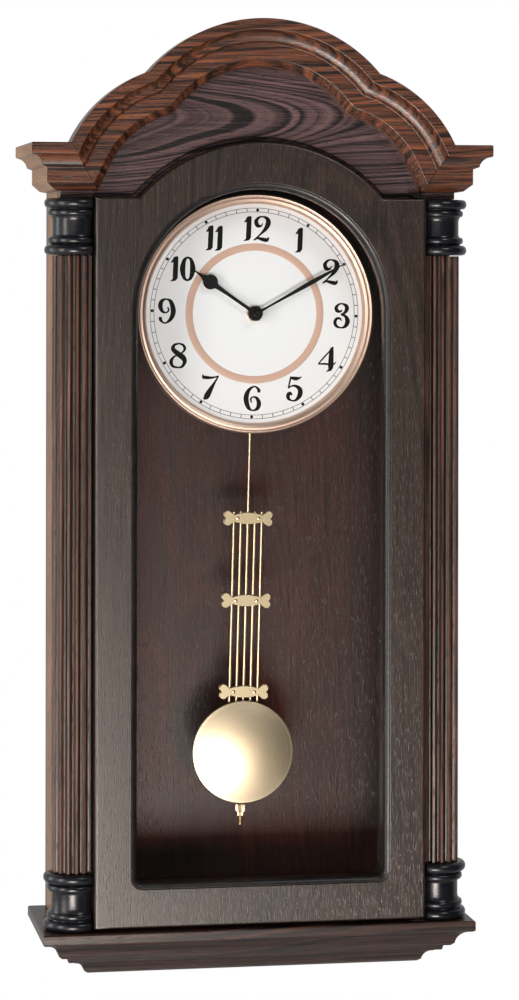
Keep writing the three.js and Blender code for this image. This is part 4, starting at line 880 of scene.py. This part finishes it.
# Pen strokes of each digit, as (x, z, width) in digit heights.
DIGIT_STROKES = {
    "0": [ZERO_LEFT, [(0.60 - x, z, width) for x, z, width in ZERO_LEFT]],
    "1": [
        [(0.2, 0.96, 0.15), (0.19, 0.5, 0.165), (0.185, 0.1, 0.165)],
        [(0.27, 0.99, 0.02), (0.17, 0.9, 0.12), (0.09, 0.8, 0.09), (0.0, 0.74, 0.03)],
        [(0.27, 0.12, 0.02), (0.18, 0.08, 0.11), (0.09, 0.03, 0.07), (0.0, -0.01, 0.02)],
    ],
    "2": [
        [(0.37, 0.72, 0.03), (0.31, 0.61, 0.06), (0.17, 0.62, 0.13), (0.10, 0.78, 0.13),
         (0.20, 0.93, 0.08), (0.36, 0.98, 0.05), (0.54, 0.91, 0.12), (0.60, 0.74, 0.17),
         (0.50, 0.50, 0.13), (0.28, 0.26, 0.06), (0.05, 0.04, 0.05)],
        [(0.03, 0.03, 0.05), (0.18, 0.11, 0.07), (0.38, 0.07, 0.12), (0.56, 0.05, 0.12),
         (0.64, 0.16, 0.03)],
    ],
    "3": [
        [(0.35, 0.74, 0.03), (0.27, 0.67, 0.07), (0.14, 0.70, 0.12), (0.10, 0.83, 0.11),
         (0.2, 0.95, 0.07), (0.33, 0.985, 0.05), (0.49, 0.92, 0.11), (0.54, 0.79, 0.14),
         (0.46, 0.63, 0.09), (0.30, 0.55, 0.05)],
        [(0.30, 0.55, 0.05), (0.49, 0.48, 0.10), (0.58, 0.28, 0.16), (0.49, 0.08, 0.11),
         (0.32, 0.015, 0.05), (0.13, 0.08, 0.10), (0.06, 0.24, 0.11), (0.14, 0.38, 0.09),
         (0.27, 0.38, 0.07), (0.33, 0.29, 0.03)],
    ],
    "4": [
        [(0.62, 0.97, 0.03), (0.33, 0.64, 0.05), (0.04, 0.3, 0.045)],
        [(0.02, 0.28, 0.05), (0.3, 0.29, 0.065), (0.62, 0.275, 0.065), (0.76, 0.38, 0.02)],
        [(0.63, 0.99, 0.02), (0.56, 0.86, 0.13), (0.545, 0.5, 0.17), (0.54, 0.12, 0.17)],
        [(0.62, 0.13, 0.02), (0.53, 0.08, 0.11), (0.44, 0.02, 0.06), (0.36, -0.02, 0.02)],
    ],
    "5": [
        [(0.14, 0.99, 0.02), (0.2, 0.94, 0.08), (0.36, 0.91, 0.13), (0.5, 0.93, 0.08),
         (0.62, 0.99, 0.02)],
        [(0.17, 0.95, 0.06), (0.125, 0.75, 0.055), (0.085, 0.53, 0.05)],
        [(0.08, 0.51, 0.04), (0.2, 0.60, 0.05), (0.38, 0.61, 0.09), (0.55, 0.48, 0.15),
         (0.56, 0.26, 0.16), (0.42, 0.06, 0.09), (0.26, 0.015, 0.05), (0.1, 0.1, 0.10),
         (0.08, 0.24, 0.13), (0.16, 0.31, 0.11), (0.24, 0.24, 0.04)],
    ],
    "6": [SIX],
    "7": [
        [(0.03, 1.0, 0.02), (0.05, 0.9, 0.09), (0.18, 0.87, 0.11), (0.42, 0.87, 0.07),
         (0.68, 0.94, 0.04)],
        [(0.05, 0.79, 0.02), (0.05, 0.88, 0.06), (0.04, 0.97, 0.03)],
        [(0.67, 0.94, 0.04), (0.5, 0.64, 0.08), (0.33, 0.34, 0.16), (0.2, 0.1, 0.18), (0.08, 0.0, 0.03)],
    ],
    "8": [
        [(0.36, 0.985, 0.05), (0.17, 0.91, 0.09), (0.13, 0.75, 0.14), (0.33, 0.57, 0.17),
         (0.54, 0.42, 0.18), (0.61, 0.25, 0.13), (0.51, 0.06, 0.08), (0.34, 0.015, 0.05)],
        [(0.34, 0.015, 0.05), (0.14, 0.07, 0.09), (0.06, 0.25, 0.12), (0.16, 0.43, 0.07),
         (0.33, 0.53, 0.045), (0.52, 0.64, 0.06), (0.60, 0.78, 0.09), (0.53, 0.92, 0.08),
         (0.36, 0.985, 0.05)],
    ],
    "9": [[(0.70 - x, 1 - z, width) for x, z, width in SIX]],
}
DIGIT_WIDTHS = {"1": 0.31, "0": 0.60, "4": 0.78}
DIGIT_WIDTH = 0.68
DIGIT_SPACE = 0.07


def make_numerals():
    """The numerals stand upright on the dial, and turn with it as a whole."""
    solids = []
    cos, sin = math.cos(DIAL_TURN), math.sin(DIAL_TURN)
    for hour in range(1, 13):
        digits = str(hour)
        widths = [DIGIT_WIDTHS.get(d, DIGIT_WIDTH) for d in digits]
        width = sum(widths) + DIGIT_SPACE * (len(digits) - 1)
        ux, uz = math.sin(math.radians(30 * hour)), math.cos(math.radians(30 * hour))
        r = NUMERAL_OUTER_R - NUMERAL_H * math.hypot(ux * width / 2, uz / 2)
        x = -width / 2
        for digit, digit_width in zip(digits, widths):
            for layer, points in enumerate(DIGIT_STROKES[digit]):
                line = [((x + px) * NUMERAL_H + r * ux, (pz - 0.5) * NUMERAL_H + r * uz,
                         pw * NUMERAL_H * NUMERAL_WEIGHT) for px, pz, pw in points]
                line = [(px * cos + pz * sin, HUB_Z - px * sin + pz * cos, pw) for px, pz, pw in line]
                solids.append(stroke(line, DIAL_FRONT, DIAL_FRONT + PRINT_T * (1 + 0.2 * layer)))
            x += digit_width + DIGIT_SPACE
    make_piece("dial_numerals", solids, PRINT_BLACK, "case")


# ---- hands
HOUR_ANGLE = 304.7
MINUTE_ANGLE = 61.0
HOUR_LENGTH = 56.0
MINUTE_LENGTH = 75.5
HOUR_DISC = (40.5, 5.5)              # distance from the hub, and radius
HOUR_HUB_R = 5.4
MINUTE_HUB_R = 4.6


def clock_hand(half, hub_r, degrees, depths):
    """A hand from its half widths, (half width, distance) points from the hub to the tip."""
    outline = mirrored([(0.0, -hub_r), *arc(0, 0, hub_r, -75, 75, 20), *half, (0.0, half[-1][1] + 0.4)])
    turn = math.radians(degrees)
    placed = [(x * math.cos(turn) + z * math.sin(turn), HUB_Z - x * math.sin(turn) + z * math.cos(turn))
              for x, z in outline]
    return plate(placed, *depths)


def make_hands():
    at, r = HOUR_DISC
    hour = [(1.15, 9), (1.25, 24), (1.7, at - r - 1.5), *arc(0, at, r, -68, 58, 18), (1.5, at + r + 1.6),
            (0.75, at + r + 5), (0.3, HOUR_LENGTH)]
    minute = [(0.75, 9), (1.0, 24), (1.6, 42), (1.65, 50), (1.15, 60), (0.5, 69), (0.25, MINUTE_LENGTH)]
    for node, half, hub_r, angle in (("hour_hand", hour, HOUR_HUB_R, HOUR_ANGLE),
                                     ("minute_hand", minute, MINUTE_HUB_R, MINUTE_ANGLE)):
        depths = (-high(node).y, -low(node).y)
        make_piece(f"{node}_fine", [clock_hand(half, hub_r, angle, depths)], HAND_BLACK, f"{node}_set",
                   [node], bevel=0.22)
    nut_front = -low("hand_nut").y
    nut_back = -high("hand_nut").y
    nut = [(0, nut_back), (2.4, nut_back), *arc(2.0, nut_front - 0.7, 0.4, 0, 90, 4), (1.5, nut_front),
           (1.1, nut_front - 0.3), (0, nut_front - 0.3)]
    make_piece("hand_nut_fine", [turned_out(nut, 40, 0, HUB_Z)], HAND_BLACK, "minute_hand_set",
               ["hand_nut"])


# ---- pendulum
ROD_R = 1.0
ROD_PITCH = 5.2
THREAD_R = 1.4
THREAD_PITCH = 0.7
THREAD_LENGTH = 21.8
SHEET_T = 0.9
SANDWICH = 2.4
LOBE = (15.2, 2.6, 2.8)              # place and radius of the round lobes at a plate's ends
RIVET_X = 1.5 * ROD_PITCH
RIVET_R = 1.35


def hung(solid, drop=0.0):
    """Leans a solid made straight below the pivot; drop lowers it first."""
    turn = Matrix.Rotation(LEAN, 4, "Y")

    def place(x, y, z):
        leaned = turn @ Vector((x, y, z - drop))
        return (leaned.x + PIVOT.x, leaned.y + PIVOT.y, leaned.z + PIVOT.z)

    return moved(solid, place)


def drop_of(node):
    """How far a pendulum piece's middle is below the pivot, along the leaning rod."""
    middle = (low(node) + high(node)) / 2
    return math.hypot(PIVOT.x - middle.x, PIVOT.z - middle.z)


def rod_span(node, x):
    """Heights of a rod's ends from the pivot, along the lean."""
    return [(z - PIVOT.z) / math.cos(LEAN) + x * math.tan(LEAN) for z in (low(node).z, high(node).z)]


def round_rod(r, z0, z1, x):
    """An upright rod with small chamfers at its ends."""
    tip = min(r * 0.35, 0.4)
    return turned_up([(0, z0), (r - tip, z0), (r, z0 + tip), (r, z1 - tip), (r - tip, z1), (0, z1)], 24, x, 0)


def plate_outline():
    """A bone shape: a lens between two necks, with two round lobes at each end."""
    x, z, r = LOBE
    lens = [(t * 10.6, 4.2 - 1.8 * t * t) for t in (i / 6 for i in range(7))]
    upper = [*lens, *arc(x, z, r, 130, -60, 14), (x + 1.4, 0)]
    right = upper + [(px, -pz) for px, pz in reversed(upper[1:-1])] + [(0, -lens[0][1])]
    return right + [(-px, pz) for px, pz in reversed(right[1:-1])]


def make_grid_plates():
    for number in (1, 2, 3):
        node = f"grid_plate_{number}"
        drop = drop_of(node)
        sheets = [hung(plate(plate_outline(), a, b), drop)
                  for a, b in ((SANDWICH - SHEET_T, SANDWICH), (-SANDWICH, -SANDWICH + SHEET_T))]
        make_piece(f"{node}_fine", sheets, PLATE_BRASS, "pendulum", [node], bevel=0.25)
        dome = [(0, -SANDWICH - 0.5), (RIVET_R * 0.8, -SANDWICH - 0.3), (RIVET_R, -SANDWICH + 0.1),
                (RIVET_R * 0.8, -SANDWICH + 0.2), (RIVET_R * 0.8, SANDWICH - 0.2), (RIVET_R, SANDWICH - 0.1),
                (RIVET_R * 0.85, SANDWICH + 0.35), (RIVET_R * 0.45, SANDWICH + 0.55), (0, SANDWICH + 0.6)]
        rivets = [hung(turned_out(dome, 24, x, 0), drop) for x in (-RIVET_X, RIVET_X)]
        make_piece(f"grid_rivets_{number}", rivets, RIVET_BRASS, "pendulum")


def make_rods():
    for number, place in enumerate((-2, -1, 1, 2), start=1):
        node = f"grid_rod_{number}"
        x = place * ROD_PITCH
        z0, z1 = rod_span(node, x)
        rod = hung(round_rod(ROD_R, z0, z1, x))
        make_piece(f"{node}_fine", [rod], ROD_BRASS, "pendulum", [node])
    z0, z1 = rod_span("pendulum_centre_rod", 0)
    thread_top = z0 + THREAD_LENGTH
    profile = [(0, z0), (THREAD_R - 0.5, z0), (THREAD_R, z0 + 0.6)]
    for i in range(int((THREAD_LENGTH - 2) / THREAD_PITCH)):
        z = z0 + 0.8 + i * THREAD_PITCH
        profile += [(THREAD_R, z), (THREAD_R - 0.3, z + THREAD_PITCH / 2)]
    profile += [(THREAD_R, thread_top - 1), (ROD_R, thread_top), (ROD_R, z1), (0, z1)]
    rod = hung(turned_up(profile, 24, 0, 0))
    make_piece("pendulum_centre_rod_fine", [rod], ROD_BRASS, "pendulum", ["pendulum_centre_rod"])


BOB_R = 37.5
BOB_BACK = 2.8
BOB_BULGE = 8.2
BOB_FALL = 6.0                       # from the crown to the rim
RIM_R = 1.1


def make_bob():
    """A spun lens of sheet brass with a rolled rim, in front of its back plate."""
    drop = drop_of("bob_front")
    crown = BOB_BACK + BOB_BULGE
    outer = [(BOB_R * t, crown - BOB_FALL * t ** 2) for t in (i / 28 for i in range(28))]
    rim = arc(BOB_R - RIM_R, crown - BOB_FALL - 0.6, RIM_R, 60, -90, 8)
    inner = [((BOB_R - 2 * RIM_R) * t, crown - 1.2 - BOB_FALL * t ** 2)
             for t in (i / 12 for i in range(12, -1, -1))]
    lens = hung(turned_out([*outer, *rim, *inner], 128, 0, 0), drop)
    make_piece("bob_front_fine", [lens], BOB_BRASS, "bob", ["bob_front"])


NUT_R = 4.0
NUT_KNURLS = 28


def make_rating_nut():
    """A knurled thumb nut with a plain neck above and below it."""
    drop = drop_of("rating_nut")
    outline = []
    for i in range(2 * NUT_KNURLS):
        r = NUT_R if i % 2 else NUT_R - 0.35
        outline.append((r * math.cos(math.pi * i / NUT_KNURLS), r * math.sin(math.pi * i / NUT_KNURLS)))

    def ring(scale, z):
        return [(x * scale, y * scale, z) for x, y in outline]

    half_h = (high("rating_nut").z - low("rating_nut").z) / 2 - 0.2
    knob = skin([ring(0.55, -half_h), ring(0.6, -half_h + 0.2), ring(0.6, -1.2), ring(0.92, -1.1),
                 ring(1, -0.5), ring(1, half_h - 0.7), ring(0.9, half_h)])
    make_piece("rating_nut_fine", [hung(knob, drop)], ROD_BRASS, "rating_nut", ["rating_nut"])


# ---- fasteners
SCREW_X = 17
SCREW_R = 3.0


def screw(x, z, r, depth, facing):
    """A countersunk cross-head screw, facing the wall (+1) or the room (-1)."""
    head = [(0, depth + facing * 1.1), (r * 0.5, depth + facing * 1.1), (r, depth + facing * 0.1), (r, depth),
            (0, depth)]
    # The cross recess is drawn as thin black sheets on the head: painted shade, not a cut hole.
    slot_shades = []
    for a, b in ((r * 0.62, 0.22), (0.22, r * 0.62)):
        box = [(x - a, z - b), (x + a, z - b), (x + a, z + b), (x - a, z + b)]
        slot_shades.append(plate(box, depth - facing * 0.001, depth + facing * 0.05))
    return turned_out(head, 28, x, z), slot_shades


def make_hanger_screws():
    """Two screws hold the hanger plate on the back panel."""
    back = -high("hanger_plate").y
    middle = (low("hanger_plate").z + high("hanger_plate").z) / 2
    heads, slot_shades = [], []
    for x in (-SCREW_X, SCREW_X):
        head, cross = screw(x, middle, SCREW_R, back - 0.04, 1)
        heads.append(head)
        slot_shades += cross
    make_piece("hanger_screws", heads, STEEL, "case")
    # The black sheets on the screw heads are painted shade for their cross recesses.
    make_piece("hanger_screw_slot_shades", slot_shades, HAND_BLACK, "case")


# ---- floor, light and camera
FLOOR_SIZE = 3.0
FLOOR_Z = -1.5
# The room's light, by direction. Each pair is where a band fades in or out along an axis of the room.
WINDOW_LIGHT = 0.6
ROOM_LIGHT = 0.03
WALL_LIGHT = 0.6
WINDOW_BOTTOM = (-0.75, -0.6)
WINDOW_TOP = (0.44, 0.56)
WINDOW_SIDE = (-0.08, 0.1)
WALL_TURN = (-0.02, 0.2)
CAMERA_PLACE = (-0.4018, -2.3782, -0.0656)
CAMERA_YAW = 9.994                   # degrees clockwise from straight at the wall, seen from above
CAMERA_PITCH = -0.067
CAMERA_ROLL = -0.096
CAMERA_LENS = 115.3
CAMERA_SHIFT = (-0.0012, -0.2418)    # the picture is framed below the lens axis


def make_floor():
    nodes = Nodes("floor_paint", roughness=0.8)
    nodes.colour(nodes.mix(nodes.noise(nodes.place, 3.0, 3.0), (0.78, 0.78, 0.77), (0.84, 0.84, 0.83)))
    bpy.ops.mesh.primitive_plane_add(size=FLOOR_SIZE, location=(0.0, 0.0, FLOOR_Z))
    floor = bpy.context.active_object
    floor.name = "floor"
    floor.data.materials.append(nodes.material)


def softbox(name, place, target, size, power, colour=(1.0, 1.0, 1.0), matt=True, gloss=True):
    """A rectangular lamp that faces its target. It can leave out matt or glossy surfaces."""
    light = bpy.data.lights.new(name, "AREA")
    light.shape = "RECTANGLE"
    light.size, light.size_y = size
    light.energy = power
    light.color = colour
    lamp = bpy.data.objects.new(name, light)
    lamp.location = place
    lamp.rotation_euler = (Vector(target) - Vector(place)).to_track_quat("-Z", "Y").to_euler()
    lamp.visible_camera = False
    lamp.visible_diffuse = matt
    lamp.visible_glossy = gloss
    bpy.context.scene.collection.objects.link(lamp)


def make_lights():
    softbox("front_key", (0.2, -2.35, -0.8), (0, 0, -0.3), (0.4, 0.4), 29.0, gloss=False)
    softbox("low_sheen", (-0.5, -2.3, -1.2), (0, 0, -0.4), (0.9, 0.7), 72.0, (1.0, 0.9, 0.83), matt=False)
    softbox("upper_right", (0.9, -1.6, 1.2), (0, 0, -0.1), (0.6, 0.6), 12.0)
    softbox("left_wash", (-1.5, 0.25, -0.2), (-0.15, -0.05, -0.2), (0.5, 1.2), 8.0, (0.95, 0.97, 1.0))
    softbox("left_front", (-1.3, -0.9, -0.25), (0, 0, -0.25), (0.4, 1.3), 14.0, (1.0, 0.93, 0.87))


def make_world():
    """White behind the clock for the camera. Its light is bright behind and in a wide window at the left."""
    world = bpy.data.worlds.new("studio")
    bpy.context.scene.world = world
    world.use_nodes = True
    world.node_tree.nodes.clear()
    tree = Tree(world.node_tree)
    x, y, z = tree.axes(tree.add("ShaderNodeTexCoord").outputs["Generated"])
    height = tree.math("MULTIPLY", tree.spread(z, *WINDOW_BOTTOM), tree.spread(z, *WINDOW_TOP, 1.0, 0.0))
    window = tree.math("MULTIPLY", tree.spread(x, *WINDOW_SIDE, 1.0, 0.0), height)
    front = tree.math("MULTIPLY_ADD", window, WINDOW_LIGHT, ROOM_LIGHT)
    behind = tree.spread(y, *WALL_TURN)
    strength = tree.math("ADD", tree.math("MULTIPLY", front, tree.math("SUBTRACT", 1.0, behind)),
                         tree.math("MULTIPLY", behind, WALL_LIGHT))
    choose = tree.add("ShaderNodeMixShader")
    tree.feed(choose.inputs[0], tree.add("ShaderNodeLightPath").outputs["Is Camera Ray"])
    for socket, brightness in zip(choose.inputs[1:], (strength, 1.0)):
        background = tree.add("ShaderNodeBackground")
        tree.feed(background.inputs["Color"], (1.0, 1.0, 1.0, 1.0))
        tree.feed(background.inputs["Strength"], brightness)
        tree.feed(socket, background.outputs[0])
    tree.feed(tree.add("ShaderNodeOutputWorld").inputs["Surface"], choose.outputs[0])


def make_camera():
    data = bpy.data.cameras.new("camera")
    data.sensor_width = 36.0
    data.lens = CAMERA_LENS
    data.shift_x, data.shift_y = CAMERA_SHIFT
    camera = bpy.data.objects.new("camera", data)
    camera.location = CAMERA_PLACE
    camera.rotation_euler = [math.radians(turn) for turn in (90 + CAMERA_PITCH, CAMERA_ROLL, -CAMERA_YAW)]
    bpy.context.scene.collection.objects.link(camera)
    bpy.context.scene.camera = camera


bpy.context.scene.view_settings.view_transform = "Standard"
for make in (
        make_camera, make_world, make_lights, make_floor, dress_cad_nodes, make_cornice, make_pediment,
        make_base_boards, make_columns, make_door, make_bezel, make_dial_plate, make_minute_track,
        make_rose_ring, make_numerals, make_hands, make_grid_plates, make_rods, make_bob,
        make_rating_nut, make_hanger_screws):
    make()
